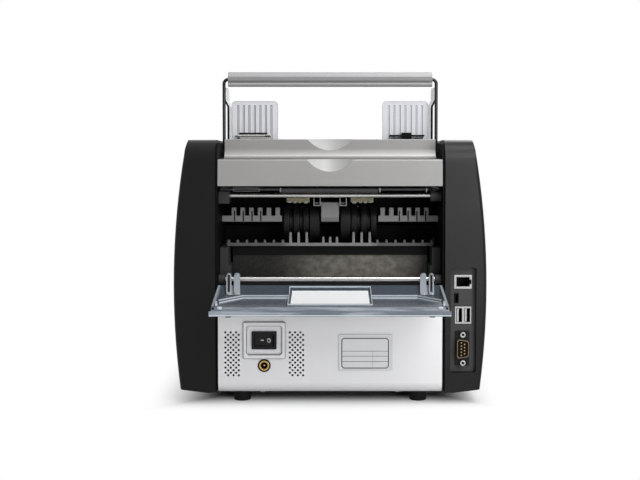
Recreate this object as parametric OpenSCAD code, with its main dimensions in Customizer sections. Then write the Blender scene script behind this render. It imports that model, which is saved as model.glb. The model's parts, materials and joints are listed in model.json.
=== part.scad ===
// Banknote counter: an assembly of separate pieces, millimetres, +Z up.
// The operator stands at -Y and the open rear door points to +Y.
// Depths (d) are measured forward from the rear face, heights (z) up from the body's underside.

/* [Body] */
// Clear width between the side frames, halved
half_inner = 99; // [94:1:106]
// Thickness of a steel side frame
frame_t = 2; // [1.5:0.5:3]
// How far a side housing stands out from its frame
housing_w = 37.5; // [34:0.5:42]
// Wall of a side housing
housing_wall = 2.4; // [1.6:0.2:3.2]
// Depth of the body from the rear face to the nose
body_depth = 236; // [232:1:250]
// Height of the body above its underside
body_h = 224; // [221:1:230]
// Radius of the bulge that the housings follow, seen from behind
bulge_r = 720; // [500:10:1200]
// Height of the widest point of the housings
bulge_z = 92; // [70:1:105]
// Angle by which a housing's rear face falls back towards its outer edge
rear_rake = 8; // [4:1:12]
// Rounding of a housing's outer edges
edge_r = 4; // [3:0.5:8]
// Roll from a housing's rear face to its top
roll_r = 20; // [10:1:28]
// Height of the feet
foot_h = 10; // [6:1:14]
// Radius of a foot at the floor
foot_r = 7.5; // [5:0.5:9]
// Half the distance between the feet across the body
foot_x = 79; // [70:1:86]
// Depth of the rear feet's centres
foot_d = 23; // [20:1:26]
// Gap between a cover and the side frames
cover_gap = 0.4; // [0.2:0.1:0.8]
// Gap between a shaft and its bore
running_gap = 0.05; // [0.02:0.01:0.1]

/* [Rear panel] */
// Thickness of the lower rear panel
panel_t = 1.5; // [1:0.1:2]
// Height of the panel's top shelf
panel_top = 80; // [77:1:82]
// Bend radius at the panel's lower edge
panel_bend = 9; // [5:1:12]
// Depth of the panel's top shelf
shelf_d = 48; // [47:1:52]
// Place of the power switch across the panel
switch_x = 58; // [52:1:62]
// Height of the power switch
switch_z = 47.5; // [45:0.5:50]
// Width of the switch's flange
switch_w = 22; // [20:0.5:24]
// Height of the switch's flange
switch_h = 16; // [14:0.5:17]
// Tilt of the rocker to each side
rocker_tilt = 8; // [5:1:10]
// Height of the power jack
jack_z = 25; // [23:0.5:25]
// Outer radius of the power jack's flange
jack_r = 5.7; // [5.5:0.1:6]
// Radius of the power jack's hole
jack_hole_r = 3; // [2.5:0.1:3.2]
// Diameter of a vent hole
vent_hole = 2; // [1.2:0.1:2]
// Rows in a vent block
vent_rows = 18; // [8:1:18]
// Width of the rating plate
plate_w = 47.8; // [40:0.2:52]
// Height of the rating plate
plate_h = 32.5; // [28:0.5:36]

/* [Rear door] */
// Depth of the door's hinge axis
hinge_d = 12; // [11:0.5:14]
// Height of the door's hinge axis
hinge_z = 100; // [99:0.5:102]
// Reach of the door from its axis to its lip
door_reach = 78.5; // [74:0.5:79]
// Thickness of the door
door_t = 2; // [1.5:0.1:2.4]
// Radius of the steel rod that the door turns on
door_rod_r = 2.1; // [1.6:0.1:2.5]
// Gap between the door's sides and the side frames
door_gap = 0.8; // [0.5:0.1:1.5]

/* [Pocket] */
// Depth of the upper tie rod
tie_d = 18; // [17:0.5:19]
// How far the upper tie rod lies below the pocket roof's underside
tie_drop = 4; // [4:0.5:6]
// Radius of the upper tie rod
tie_r = 2; // [1.5:0.1:2.4]
// How far the pocket roof's underside lies below the housings' top
roof_drop = 46; // [44:0.5:47]
// Thickness of the pocket roof
roof_t = 2; // [1.5:0.5:3]
// How far the top of the sensor bar, which carries the lower comb, lies below the pocket roof
bar_drop = 51; // [50:0.5:53]
// Height of the sensor bar
bar_h = 8.5; // [7:0.5:10]
// Depth of the transport plate behind the rollers
back_plate_d = 90; // [88:1:94]
// Width of a lower comb's tooth
tooth_w = 2.8; // [2:0.1:3.4]
// Half the width of the pressure flap
flap_half = 8; // [6:0.5:8.2]
// Length of the pressure flap below its pin
flap_len = 16.8; // [14:0.2:20]

/* [Hopper] */
// How far the upper rear cover's top lies below the housings' top
cover_drop = 17.7; // [16:0.1:20]
// Height of the upper rear cover
cover_h = 23.3; // [22:0.1:24]
// Thickness of the silver covers
cover_t = 2.4; // [1.8:0.1:3]
// Width of a finger scoop
scoop_w = 41; // [30:1:48]
// Depth of a finger scoop
scoop_h = 10; // [6:0.5:12]
// Depth of the hopper back plate
hopper_d = 33; // [32:0.5:34]
// How far the hopper back plate rises above the housings' top
hopper_rise = 0; // [0:0.5:6]
// Gap between the hopper back plate and a side frame, where the bail wire runs
wire_slot = 4; // [3.8:0.1:5]
// Slope of the hopper tray
tray_slope = 20.5; // [19:0.5:22]
// Radius of the rail that the guides slide on
rail_r = 3; // [2:0.25:3.5]
// Width of a guide's ribbed face
guide_w = 42.5; // [36:0.5:44]
// Thickness of a guide's plates
guide_t = 2; // [1.4:0.1:2.4]
// Height of a guide's face above the rail
guide_face_h = 48; // [40:1:52]
// Height of a guide's side plate above the rail
guide_side_h = 61; // [54:1:64]
// Grooves in a guide's face
groove_count = 7; // [3:1:8]

/* [Bail] */
// Radius of the bail wire
wire_r = 1.5; // [1.2:0.1:1.7]
// Height of the grip above the bail's pivot
bail_h = 66.5; // [62:0.5:80]
// Radius of the bends in the bail wire
bend_r = 4; // [3:0.5:6]
// Height of the grip's section
grip_h = 13.4; // [11:0.1:15]
// Depth of the grip's section
grip_d = 12; // [10:0.5:14]

/* [Drive] */
// Radius of the shafts
shaft_r = 4; // [3:0.25:4.5]
// Radius of the plain drive wheels
wheel_r = 20; // [18:0.5:20]
// Radius of the ribbed rollers
roller_r = 18; // [15:0.5:18]
// Radius of the pickup rollers
pickup_r = 14; // [12:0.5:14.5]
// Radius of the impellers
impeller_r = 34; // [28:1:36]
// Blades on an impeller
blade_count = 6; // [5:1:14]
// Radius of the motor's body
motor_r = 22; // [16:1:24]
// Length of the motor's body
motor_len = 54; // [40:1:60]
// Width of a belt
belt_w = 4; // [3:0.5:5]
// Thickness of a belt
belt_t = 1.6; // [1:0.1:2]
// Pulley radius on the motor
motor_pulley_r = 8; // [6:0.5:10]
// Pulley radius on the drive shaft for the motor's belt
drive_pulley_r = 16; // [12:0.5:20]
// Pulley radius at both ends of the pickup belt
pickup_pulley_r = 12; // [9:0.5:14]
// Pulley radius on the drive shaft for the impeller's belt
stack_pulley_r = 10; // [9:0.5:12]
// Pulley radius on the impeller shaft
impeller_pulley_r = 20; // [16:0.5:24]

/* [Front] */
// Tilt of the control panel
panel_tilt = 35.6; // [34:0.2:37]
// Length of the control panel along its slope
control_len = 114; // [108:1:116]
// Thickness of the control panel
control_t = 3; // [2.4:0.2:4]
// Width of a key
key_w = 16; // [12:0.5:18]
// Length of a key
key_l = 12; // [10:0.5:14]
// Gap around a key
key_gap = 0.3; // [0.2:0.1:0.5]
// Travel of a key
key_travel = 1.2; // [0.8:0.1:1.6]
// Width of the display lens
lens_w = 84; // [60:1:90]
// Length of the display lens
lens_l = 44; // [30:1:50]
// Height of the stacker's floor
stacker_z = 20; // [18:1:24]

/* [Ports] */
// Width of the port recess
port_w = 23; // [22:0.2:23.4]
// Height of the port recess
port_h = 93.2; // [92:0.2:96]
// Depth of the port recess's floor
port_floor = 9; // [7:0.5:11]
// Distance of the ports' middle from the side frame
port_off = 16.5; // [16:0.1:17]
// Height of the middle of the port recess
port_z = 64.6; // [62:0.2:68]

/* [Hidden] */
$fn = 48;

// Widths
frame_x = half_inner + frame_t;
half_w = frame_x + housing_w;
cover_x = half_inner - cover_gap;
seat_gap = 0.2;
seat_x = half_inner - seat_gap;

// The origin is below the middle of the whole machine with its door open
door_out = door_reach - hinge_d;
rear_y = (body_depth - door_out) / 2;

// Outline of the body from the side
shoulder_d = 112;
shoulder_drop = 3;
shoulder_round = 40;
nose_back = 4;
nose_z = 130;
nose_round = 12;
chin_z = 50;
chin_round = 30;
toe_round = 8;
heel_round = 3;
frame_inset = 2.5;
arc_steps = 8;

// Revolved form of a housing
bulge_below = 12;
bulge_above = 18;
bulge_steps = 720;
section_reach = 30;
roll_lean = 0.03;
underside_flat = 5;
underside_rise = 5;

// Base
tray_z = 2;
tray_t = 2;
tray_margin = 8;
foot_top_r = 8.5;
flange_d = 22;
flange_gap = 0.5;
screw_d = 14;
screw_r = 2.6;
screw_inset = 19;
screw_h = 1.6;

// Rear panel fittings
shelf_round = 2;
bezel_w = 37.6;
bezel_h = 33.3;
bezel_proud = 2.6;
bezel_inner_w = 30.4;
bezel_inner_h = 24.6;
bezel_round = 2;
switch_flange_t = 1.8;
switch_rim = 1.6;
switch_depth = 14;
well_side = 0.8;
well_end = 1.2;
rocker_gap = 0.6;
rocker_edge = 2.2;
rocker_dip = 1;
rocker_keel = 3.4;
rocker_well = 7;
rocker_pin_r = 1;
rocker_pin_len = 0.9;
rocker_axis_d = 0.6;
sleeve_wall = 1.5;
sleeve_r = jack_hole_r + sleeve_wall;
jack_shell = 0.5;
jack_flange_t = 1;
jack_depth = 14;
jack_bore = 10;
jack_pin_in = 0.5;
jack_pin_r = 0.8;
vent_row_pitch = 2.235;
vent_col_pitch = 4.66;
vent_cols = 3;
vent_z = 35.3;
vent_offsets = [28.3, -28.4];
plate_x = -31.3;
plate_z = 36.5;
plate_t = 1;
plate_rim = 1.6;
plate_inlay = 0.4;

// Door
door_x = half_inner - door_gap;
door_edge = [12, -4];
door_step = [29, -10];
door_floor_end = [7, -14.4];
door_lip = 19;
door_lip_t = 2.4;
door_rim = 2.5;
door_rim_out = 1.6;
door_round = 3;
ear_r = 5.5;
ear_pairs = [[11.4, 6.9], [19, 13.6]];
ear_rib_h = 1.5;
ear_lean = 2.6;
rib_places = [31, 34];
rib_h = 1.2;
rib_w = 1;
rib_inset = 8;
side_wall_t = 2;

// Pocket
roof_z = body_h - roof_drop;
tie_z = roof_z - tie_drop;
bar_top = roof_z - bar_drop;
block_w = 9.8;
block_x = half_inner - block_w;
block_d = [22, 56];
block_h = 30;
block_step = 16;
block_step_w = 2;
block_z = bar_top - block_h;
mount_d = [10, 23.5];
mount_h = 14;
tie_clip = 3.2;
boss_r = 5.5;
hinge_boss_r = 4.5;
hinge_boss_w = 6;
hinge_web_h = 6;
roof_d = [24, 88];
roof_lip_x = 43;
roof_lip_h = 5;
roof_lip_t = 2;
notch_x = 19.5;
notch_w = 2;
notch_past = 1;
board_t = 1.6;
board_x = [18.5, 39];
board_d = 27;
board_h = 10.6;
flap_pin_drop = 12;
flap_pin = [38, roof_z - flap_pin_drop];
flap_pin_r = 1.2;
flap_t = 2;
flap_curl = 4;
bracket_x = [8.6, 15];
bracket_d = 10;
bracket_drop = 2.2;
bracket_wall = 0.7;
upper_bar_d = [44, 50];
upper_bar_drop = 23.8;
upper_bar_h = 5.5;
upper_bar_z = [roof_z - upper_bar_drop - upper_bar_h, roof_z - upper_bar_drop];
upper_bar_x = 44;
upper_tooth_h = 7.4;
upper_tooth_w = 4.2;
upper_tooth_top = upper_bar_z[1] + upper_tooth_h;
upper_tooth_first = 48;
upper_tooth_pitch = 8;
upper_tooth_end = 3;
upper_teeth = comb_count(upper_tooth_first, upper_tooth_pitch, upper_tooth_end);
lower_base_d = [37, 45];
lower_base_h = 2.8;
lower_tooth_d = 6;
outer_tooth_first = 43;
outer_tooth_pitch = 8.2;
outer_tooth_end = 2;
outer_teeth = comb_count(outer_tooth_first, outer_tooth_pitch, outer_tooth_end);
outer_tooth_h = 5.6;
lower_base_end = 0.4;
lower_base_x = outer_tooth_first + (outer_teeth - 1) * outer_tooth_pitch + tooth_w / 2 + lower_base_end;
tall_tooth_first = 21.3;
tall_tooth_pitch = 7.35;
tall_teeth = 3;
tall_tooth_h = 12.5;
mid_tooth_pitch = 6.2;
mid_tooth_h = 8.3;
wheel_slot = 0.4;
wheel_slot_d = 4;
bar_x = half_inner - block_w - seat_gap;
bar_d = [42, 54];
plate_wall = 2;
window_d = [44, 46];

// Hopper
hopper_x = half_inner - wire_slot;
cover_top = body_h - cover_drop;
cover_bottom = cover_top - cover_h;
hopper_top = body_h + hopper_rise;
cover_reach = 30;
cover_face_d = 1;
cover_lean = 2;
cover_round = 1.5;
cove_r = 8;
cove_reach = 9;
cove_foot = 1;
scoop_tilt = 35;
scoop_rise = scoop_h * cos(scoop_tilt);
scoop_r = (scoop_w * scoop_w / 4 + scoop_rise * scoop_rise) / (2 * scoop_rise);
scoop_cup = 14;
scoop_cup_wall = 3;
hopper_cup_floor = 1.2;
scoop_cup_x = scoop_w / 2 + scoop_cup_wall;
tray_start = hopper_d + cover_t + seat_gap;
tray_rise = 5.7;
tray_top = cover_top + tray_rise;
tray_plate_t = 2;
control_d = 128;
tray_end = control_d - 2 * seat_gap;
tray_tab = [80, 92];
bail_d = 50;
bail_drop = 12;
bail_z = body_h - bail_drop;
bail_pin_out = 1.5;
rail_d = 66;
rail_drop = 13;
rail_z = body_h - rail_drop;
guide_block_d = [60, 72];
guide_block_below = 5;
guide_block_above = 8;
guide_drop = 24;
guide_split = 2.2;
guide_side_len = 40;
guide_round = 3.6;
flare_out = 3.4;
flare_from = 43;
flare_h = 6.5;
groove_pitch = 5.1;
groove_w = 1.2;
groove_deep = 0.7;
groove_top = 4;
clip_x = [8, 40];
clip_d = [56.6, 59.8];
clip_h = [15.4, 17];
clip_bracket_x = [11.4, 37.2];
clip_bracket_h = [9, 19];
clip_bracket_set = 0.8;
clip_knob_x = [20, 29];
clip_knob_h = [13, 19];
clip_knob_d = 3;

// Bail
bail_x = half_inner - wire_slot / 2;
grip_x = bail_x - bend_r;
grip_round = 2.5;
grip_bevel = 4.5;
grip_bevel_round = 1.5;
grip_line_h = 3.5;
grip_line_w = 0.8;

// Shafts, as depth and height
drive_drop = 30;
drive = [62, roof_z - drive_drop];
pickup_d = 112;
pickup_proud = 1.2;
pickup = [pickup_d, tray_at(pickup_d) - pickup_r + pickup_proud];
stacker_d = 138;
impeller_back = 10;
impeller = [stacker_d - impeller_back, 72];
motor = [70, 50];
shaft_end = 1.5;
press_gap = 0.02;
wheel_x = [9.4, 18.8];
roller_x = [19.2, 42.6];
roller_rings = 3;
roller_ring_w = 5.4;
roller_groove = 4;
pickup_x = [24, 34];
pickup_slot_gap = 1;
pickup_slot = [11, 13.6];
impeller_x = [20, 28];
impeller_hub_r = 10;
blade_t = 2;
blade_lean = 28;
bush_wall = 2.5;
bush_flange = 1.5;
bush_flange_t = 1.2;
motor_shaft_r = 2.5;
motor_shaft_in = 20;
motor_hole_gap = 3;
belt_gap = 0.3;
flange_t = 0.8;
flange_rise = 0.8;
track_side = 0.5;
track_pitch = belt_w + 2 * track_side + 2 * flange_t;
track_gap = 2;
track_start = frame_x + track_gap;

// Front
control_drop = 25;
control_z = body_h - control_drop;
control_lip = 17;
control_nose = 15;
control_round = 2;
key_in = 47;
key_first = [half_inner - key_in, -38];
key_step = [24, 22];
key_round = 2.5;
key_proud = 2.2;
key_flange = 1.5;
key_flange_t = 1.2;
key_stem_r = 2;
control_board_z = -7;
control_board_t = 1.6;
control_board_in = [61, 9];
control_board_x = [half_inner - control_board_in[0], half_inner - control_board_in[1]];
control_board_y = [-74, -24];
post_r = 2;
post_inset = 4;
lens_x = -30;
lens_y = -52;
lens_t = 1.4;
stacker_t = 2.4;
stacker_back_h = 92;
stacker_front_gap = 6;
stacker_round = 4;
impeller_slot_gap = 1.5;

// Ports
port_x = frame_x + port_off;
port_round = 2;
port_fit = 0.3;
board_off = 6.6;
main_board_x = frame_x + board_off;
main_board_d = [12, 92];
main_board_z = [14, 114];
port_set = 0.6;
port_face = port_floor - port_set;
network_off = [0.1, 33.3];
network_at = [port_x, port_z] + network_off;
network_size = [15.8, 12.5];
network_deep = 21;
network_hole = [11.7, 8.4];
network_hole_deep = 13;
latch_size = [3, 4];
usb_off = [0.3, 3.6];
usb_at = [port_x, port_z] + usb_off;
usb_size = [14.7, 15.4];
usb_deep = 17;
usb_slot = [5.1, 12.4];
usb_slot_pitch = 7.1;
usb_slot_deep = 10;
usb_tongue_t = 1.8;
usb_tongue_gap = 1;
service_off = [-5.5, 18.8];
service_at = [port_x, port_z] + service_off;
service_size = [3.4, 8.2];
service_deep = 9;
service_wall = 0.5;
serial_off = [-0.3, -25.6];
serial_at = [port_x, port_z] + serial_off;
serial_shell = [10.3, 17.5];
serial_wall = 0.6;
serial_slant = 1.8;
serial_proud = 5;
serial_flange = [12.6, 31];
serial_flange_t = 1;
serial_body = [10, 19];
serial_deep = 12;
serial_pin_r = 0.5;
serial_pin_pitch = 2.77;
serial_row_gap = 2.84;
jackscrew_pitch = 25;
jackscrew_r = 2.4;
jackscrew_len = 5;
jackscrew_hole_r = 1.2;

// Height of the hopper tray's surface at a depth
function tray_at(d) = tray_top - (d - tray_start) * tan(tray_slope);

// A corner of a polygon: [x, y, radius], with the radius left out or 0 for a sharp one
function unit(v) = v / norm(v);
function flat(p) = [p[0], p[1]];
function corner_arc(centre, from, to, steps) =
    let (u = from - centre, v = to - centre)
    let (start = atan2(u[1], u[0]), sweep = atan2(u[0] * v[1] - u[1] * v[0], u * v))
    [for (k = [0:steps]) centre + norm(u) * [cos(start + sweep * k / steps), sin(start + sweep * k / steps)]];
function corner(a, b, c, steps) =
    let (u = unit(flat(a) - flat(b)), v = unit(flat(c) - flat(b)), half = acos(u * v) / 2)
    corner_arc(flat(b) + unit(u + v) * b[2] / sin(half),
               flat(b) + u * b[2] / tan(half), flat(b) + v * b[2] / tan(half), steps);
function rounded(pts, steps = arc_steps) =
    let (n = len(pts))
    [for (i = [0:n - 1])
        each (is_undef(pts[i][2]) || pts[i][2] == 0) ? [flat(pts[i])]
             : corner(pts[(i + n - 1) % n], pts[i], pts[(i + 1) % n], steps)];

// Teeth that fit between a comb's first tooth and the side frame
function comb_count(first, pitch, end) = 1 + floor((seat_x - end - first) / pitch);

// Range of a width about its middle
function span(middle, width) = [middle - width / 2, middle + width / 2];

// Outline of the body from the side, drawn in by an inset
function body_outline(inset) = rounded([
    [inset, inset, heel_round],
    [inset, body_h - inset, roll_r - inset],
    [shoulder_d, body_h - shoulder_drop - inset, shoulder_round],
    [body_depth - nose_back - inset, nose_z - inset / 2, nose_round],
    [body_depth - inset, chin_z, chin_round],
    [body_depth - inset, inset, toe_round]
]);

// Section of a housing from above, as distance from the bulge's axis and depth
function rake_at(inset, out) = inset + (out - bulge_r + housing_w) * tan(rear_rake);
function housing_section(inset) =
    let (low = bulge_r - housing_w - section_reach, out = bulge_r - inset)
    rounded([
        [low, rake_at(inset, low)],
        [out, rake_at(inset, out), edge_r - inset],
        [out, body_depth - inset, edge_r - inset],
        [low, body_depth - inset]
    ]);

module placed() {
    translate([0, rear_y, foot_h]) children();
}

module both_sides() {
    children();
    mirror([1, 0, 0]) children();
}

// Box from ranges across, in depth and in height
module block(x, d, z) {
    translate([x[0], -d[1], z[0]]) cube([x[1] - x[0], d[1] - d[0], z[1] - z[0]]);
}

// Cylinder across the body, at = [depth, height]
module rod(x, at, r) {
    translate([x[0], -at[0], at[1]]) rotate([0, 90, 0]) cylinder(r = r, h = x[1] - x[0]);
}

// Cylinder along the depth, at = [across, height]
module peg(at, d, r) {
    translate([at[0], -d[0], at[1]]) rotate([90, 0, 0]) cylinder(r = r, h = d[1] - d[0]);
}

// Side outline of depth and height points, carried across the body
module prism(x, pts) {
    translate([x[0], 0, 0]) rotate([90, 0, 90]) linear_extrude(x[1] - x[0])
        polygon([for (p = pts) [-p[0], p[1]]]);
}

// Flat shape seen from behind, carried forward over a range of depths
module sheet(d) {
    translate([0, -d[0], 0]) rotate([90, 0, 0]) linear_extrude(d[1] - d[0]) children();
}

module soft_rect(size, r) {
    polygon(rounded([
        [-size[0] / 2, -size[1] / 2, r], [size[0] / 2, -size[1] / 2, r],
        [size[0] / 2, size[1] / 2, r], [-size[0] / 2, size[1] / 2, r]
    ], 6));
}

// Solid form of the right housing, drawn in by an inset, from one place across the body outwards
module housing_form(inset, from_x) {
    start = rake_at(inset, norm([bulge_r - housing_w, body_h - roll_r - bulge_z]));
    low = body_h - roll_r + 1;
    fall = shoulder_drop * body_depth / shoulder_d;
    intersection() {
        translate([half_w - bulge_r, 0, bulge_z]) rotate([90, 0, 0]) rotate([0, 0, -bulge_below])
            rotate_extrude(angle = bulge_below + bulge_above, $fn = bulge_steps)
                polygon(housing_section(inset));
        prism([from_x, half_w + 1], body_outline(inset));
        translate([frame_x, -start, 0]) rotate([0, 0, -rear_rake]) prism([-housing_w, 2 * housing_w], rounded([
            [-roll_lean * low, -1], [roll_lean * roll_r, body_h - inset, roll_r - inset],
            [2 * body_depth, body_h - 2 * fall - inset], [2 * body_depth, -1]
        ]));
        translate([frame_x + underside_flat, 0, inset]) rotate([0, -underside_rise, 0])
            block([-housing_w, 2 * housing_w], [-section_reach, 2 * body_depth], [0, 2 * body_h]);
    }
}

module housing_shell() {
    difference() {
        housing_form(0, frame_x);
        housing_form(housing_wall, frame_x - 1);
    }
}

module port_rect(at, size, gap) {
    translate(at) square([size[0] + 2 * gap, size[1] + 2 * gap], center = true);
}

module base_tray() {
    color("dimgray") placed()
        block([-seat_x, seat_x], [panel_bend + seat_gap, body_depth - tray_margin], [tray_z, tray_z + tray_t]);
}

module feet() {
    color("black") placed() both_sides() for (at = [[foot_d, flange_gap], [body_depth - foot_d, tray_z]])
        translate([foot_x, -at[0], -foot_h]) cylinder(r1 = foot_r, r2 = foot_top_r, h = foot_h + at[1]);
}

module side_frame() {
    difference() {
        prism([half_inner, frame_x], body_outline(frame_inset));
        for (at = [drive, pickup, impeller])
            rod([half_inner - 1, frame_x + 1], at, shaft_r + bush_wall + running_gap);
        rod([half_inner - 1, frame_x + 1], [hinge_d, hinge_z], door_rod_r + running_gap);
        rod([half_inner - 1, frame_x + 1], [tie_d, tie_z], tie_r + running_gap);
        rod([half_inner - 1, frame_x + 1], [rail_d, rail_z], rail_r + running_gap);
        rod([half_inner - 1, frame_x + 1], [bail_d, bail_z], wire_r + running_gap);
    }
}

module right_side_frame() {
    color("darkslategray") placed() difference() {
        side_frame();
        rod([half_inner - 1, frame_x + 1], motor, motor_shaft_r + motor_hole_gap);
    }
}

module left_side_frame() {
    color("darkslategray") placed() mirror([1, 0, 0]) {
        side_frame();
        for (d = main_board_d, z = main_board_z)
            rod([half_inner + frame_t / 2, main_board_x],
                [inward(d, main_board_d), inward(z, main_board_z)], post_r);
    }
}

// A place set in from one end of a range
function inward(v, range) = v + (v == range[0] ? post_inset : -post_inset);

module right_housing() {
    color("black") placed() housing_shell();
}

module left_housing() {
    color("black") placed() mirror([1, 0, 0]) difference() {
        union() {
            housing_shell();
            intersection() {
                housing_form(0, frame_x);
                block([port_x - port_w / 2 - housing_wall, port_x + port_w / 2 + housing_wall],
                      [0, port_floor + housing_wall],
                      [port_z - port_h / 2 - housing_wall, port_z + port_h / 2 + housing_wall]);
            }
        }
        sheet([-1, port_floor]) translate([port_x, port_z]) soft_rect([port_w, port_h], port_round);
        sheet([port_floor - 1, port_floor + housing_wall + 1]) {
            port_rect(network_at, network_size, port_fit);
            port_rect(usb_at, usb_size, port_fit);
            port_rect(service_at, service_size, port_fit);
            port_rect(serial_at, serial_body, port_fit);
            for (side = [-1, 1]) translate(serial_at + [0, side * jackscrew_pitch / 2])
                circle(r = jackscrew_hole_r + port_fit);
        }
    }
}

module rear_panel() {
    color("silver") placed() difference() {
        union() {
            prism([-cover_x, cover_x], rounded([
                [flange_d, flange_gap], [0, flange_gap, panel_bend], [0, panel_top, shelf_round],
                [shelf_d, panel_top], [shelf_d, panel_top - panel_t], [panel_t, panel_top - panel_t],
                [panel_t, flange_gap + panel_t, panel_bend - panel_t], [flange_d, flange_gap + panel_t]
            ]));
            sheet([-bezel_proud, 0]) translate([switch_x, switch_z]) difference() {
                soft_rect([bezel_w, bezel_h], bezel_round);
                soft_rect([bezel_inner_w, bezel_inner_h], bezel_round);
            }
        }
        sheet([-1, panel_t + 1]) {
            port_rect([switch_x, switch_z], [switch_w - 2 * switch_rim, switch_h - 2 * switch_rim], port_fit);
            translate([switch_x, jack_z]) circle(r = sleeve_r + jack_shell + port_fit);
            for (offset = vent_offsets) translate([switch_x + offset, vent_z]) vent_block();
        }
        both_sides() block([block_x - seat_gap, half_inner], [block_d[0] - seat_gap, block_d[1]],
                           [block_z - seat_gap, bar_top]);
    }
}

// Staggered rows of round vent holes about the middle of the block
module vent_block() {
    for (row = [0:vent_rows - 1], col = [0:vent_cols - 1])
        translate([(col - (vent_cols - 1) / 2 + (row % 2 - 0.5) / 2) * vent_col_pitch,
                   (row - (vent_rows - 1) / 2) * vent_row_pitch])
            circle(d = vent_hole, $fn = 16);
}

module rating_plate() {
    color("gainsboro") placed() translate([plate_x, 0, plate_z]) difference() {
        sheet([-plate_t, 0]) soft_rect([plate_w, plate_h], bezel_round);
        sheet([-plate_t - 1, plate_inlay - plate_t])
            soft_rect([plate_w - 2 * plate_rim, plate_h - 2 * plate_rim], bezel_round / 2);
    }
}

module switch_body() {
    well = rocker_well_size();
    bore_len = well[1] + 2 * (rocker_pin_len + running_gap);
    color("black") placed() translate([switch_x, 0, switch_z]) difference() {
        union() {
            sheet([-switch_flange_t, 0]) soft_rect([switch_w, switch_h], 1);
            sheet([-switch_flange_t, switch_depth])
                square([switch_w - 2 * switch_rim, switch_h - 2 * switch_rim], center = true);
        }
        sheet([-switch_flange_t - 1, rocker_well - switch_flange_t]) square(well, center = true);
        translate([0, -rocker_axis_d, -bore_len / 2])
            cylinder(r = rocker_pin_r + running_gap, h = bore_len);
    }
}

// Width and height of the well that the rocker turns in
function rocker_well_size() =
    [switch_w - 2 * (switch_rim + well_side), switch_h - 2 * (switch_rim + well_end)];

module switch_rocker() {
    well = rocker_well_size();
    half = well[0] / 2 - rocker_gap;
    height = well[1] - rocker_gap;
    pin_len = well[1] + 2 * rocker_pin_len;
    color("black") placed() translate([switch_x, -rocker_axis_d, switch_z]) rotate([0, 0, -rocker_tilt]) {
        translate([0, 0, -height / 2]) linear_extrude(height) polygon([
            [-half, -rocker_edge], [0, -rocker_keel], [half, -rocker_edge],
            [half, rocker_edge], [0, rocker_dip], [-half, rocker_edge]
        ]);
        translate([0, 0, -pin_len / 2]) cylinder(r = rocker_pin_r, h = pin_len);
    }
}

module power_jack() {
    color("black") placed() difference() {
        union() {
            peg([switch_x, jack_z], [-jack_flange_t, 0], jack_r);
            peg([switch_x, jack_z], [-jack_flange_t, jack_depth], sleeve_r + jack_shell);
        }
        peg([switch_x, jack_z], [-jack_flange_t - 1, jack_bore], sleeve_r + press_gap);
    }
}

module jack_sleeve() {
    color("goldenrod") placed() {
        difference() {
            peg([switch_x, jack_z], [-jack_flange_t, jack_bore], sleeve_r);
            peg([switch_x, jack_z], [-jack_flange_t - 1, jack_bore + 1], jack_hole_r);
        }
        peg([switch_x, jack_z], [jack_pin_in, jack_bore], jack_pin_r);
    }
}

// Points given from the door's hinge axis, rearwards and up
function from_hinge(pts) = [for (p = pts) [hinge_d - p[0], hinge_z + p[1], p[2]]];

// Hinge ear with its rib, which draws in towards the door's lip
module door_ear(x) {
    rib_d = hinge_d - rib_places[0];
    wide = [x[0] - ear_lean, x[1]];
    intersection() {
        union() {
            rod(wide, [hinge_d, hinge_z], ear_r);
            prism(wide, from_hinge([
                [0, ear_r], [rib_places[0], door_step[1] + ear_rib_h],
                [rib_places[0], door_step[1] - door_t], [door_edge[0], door_edge[1] - door_t],
                [0, -ear_r]
            ]));
        }
        translate([0, 0, hinge_z - door_reach]) linear_extrude(2 * door_reach) polygon([
            [x[0], -hinge_d - 2 * ear_r], [x[1], -hinge_d - 2 * ear_r], [x[1], -hinge_d],
            [x[1] - ear_lean, 1 - rib_d], [x[0] - ear_lean, 1 - rib_d], [x[0], -hinge_d]
        ]);
    }
}

module rear_door() {
    floor_end = [door_reach - door_floor_end[0], door_floor_end[1]];
    lip_slope = (floor_end[1] + door_lip) / door_floor_end[0];
    color("lightsteelblue") placed() difference() {
        union() {
            prism([-door_x, door_x], rounded(from_hinge([
                door_edge, [door_step[0], door_step[1], door_round], [floor_end[0], floor_end[1], door_round],
                [door_reach, -door_lip], [door_reach, -door_lip - door_lip_t],
                [floor_end[0] - 1, floor_end[1] - door_t, door_round],
                [door_step[0], door_step[1] - door_t, door_round], [door_edge[0], door_edge[1] - door_t]
            ])));
            prism([-door_x - door_rim_out, door_x + door_rim_out], from_hinge([
                [door_reach - door_rim, -door_lip + door_rim * lip_slope], [door_reach, -door_lip],
                [door_reach, -door_lip - door_lip_t],
                [door_reach - door_rim, -door_lip - door_lip_t + door_rim * lip_slope]
            ]));
            both_sides() prism([door_x - side_wall_t, door_x], from_hinge([
                door_edge, [floor_end[0] - door_round, floor_end[1] + door_t / 2],
                [floor_end[0] - door_round, floor_end[1] - door_t / 2],
                [door_step[0], door_step[1] - door_t / 2], [door_edge[0], door_edge[1] - door_t]
            ]));
            for (a = rib_places) prism([rib_inset - door_x, door_x - rib_inset], from_hinge([
                [a - rib_w / 2, door_step[1] + rib_h - 1], [a + rib_w / 2, door_step[1] + rib_h - 1],
                [a + rib_w / 2, door_step[1] - door_t], [a - rib_w / 2, door_step[1] - door_t]
            ]));
            both_sides() for (ear = ear_pairs) door_ear([half_inner - ear[0], half_inner - ear[1]]);
        }
        rod([-half_inner, half_inner], [hinge_d, hinge_z], door_rod_r + running_gap);
    }
}

module door_rod() {
    color("silver") placed() rod([-frame_x, frame_x], [hinge_d, hinge_z], door_rod_r);
}

module tie_rod() {
    color("silver") placed() rod([-frame_x, frame_x], [tie_d, tie_z], tie_r);
}

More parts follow.
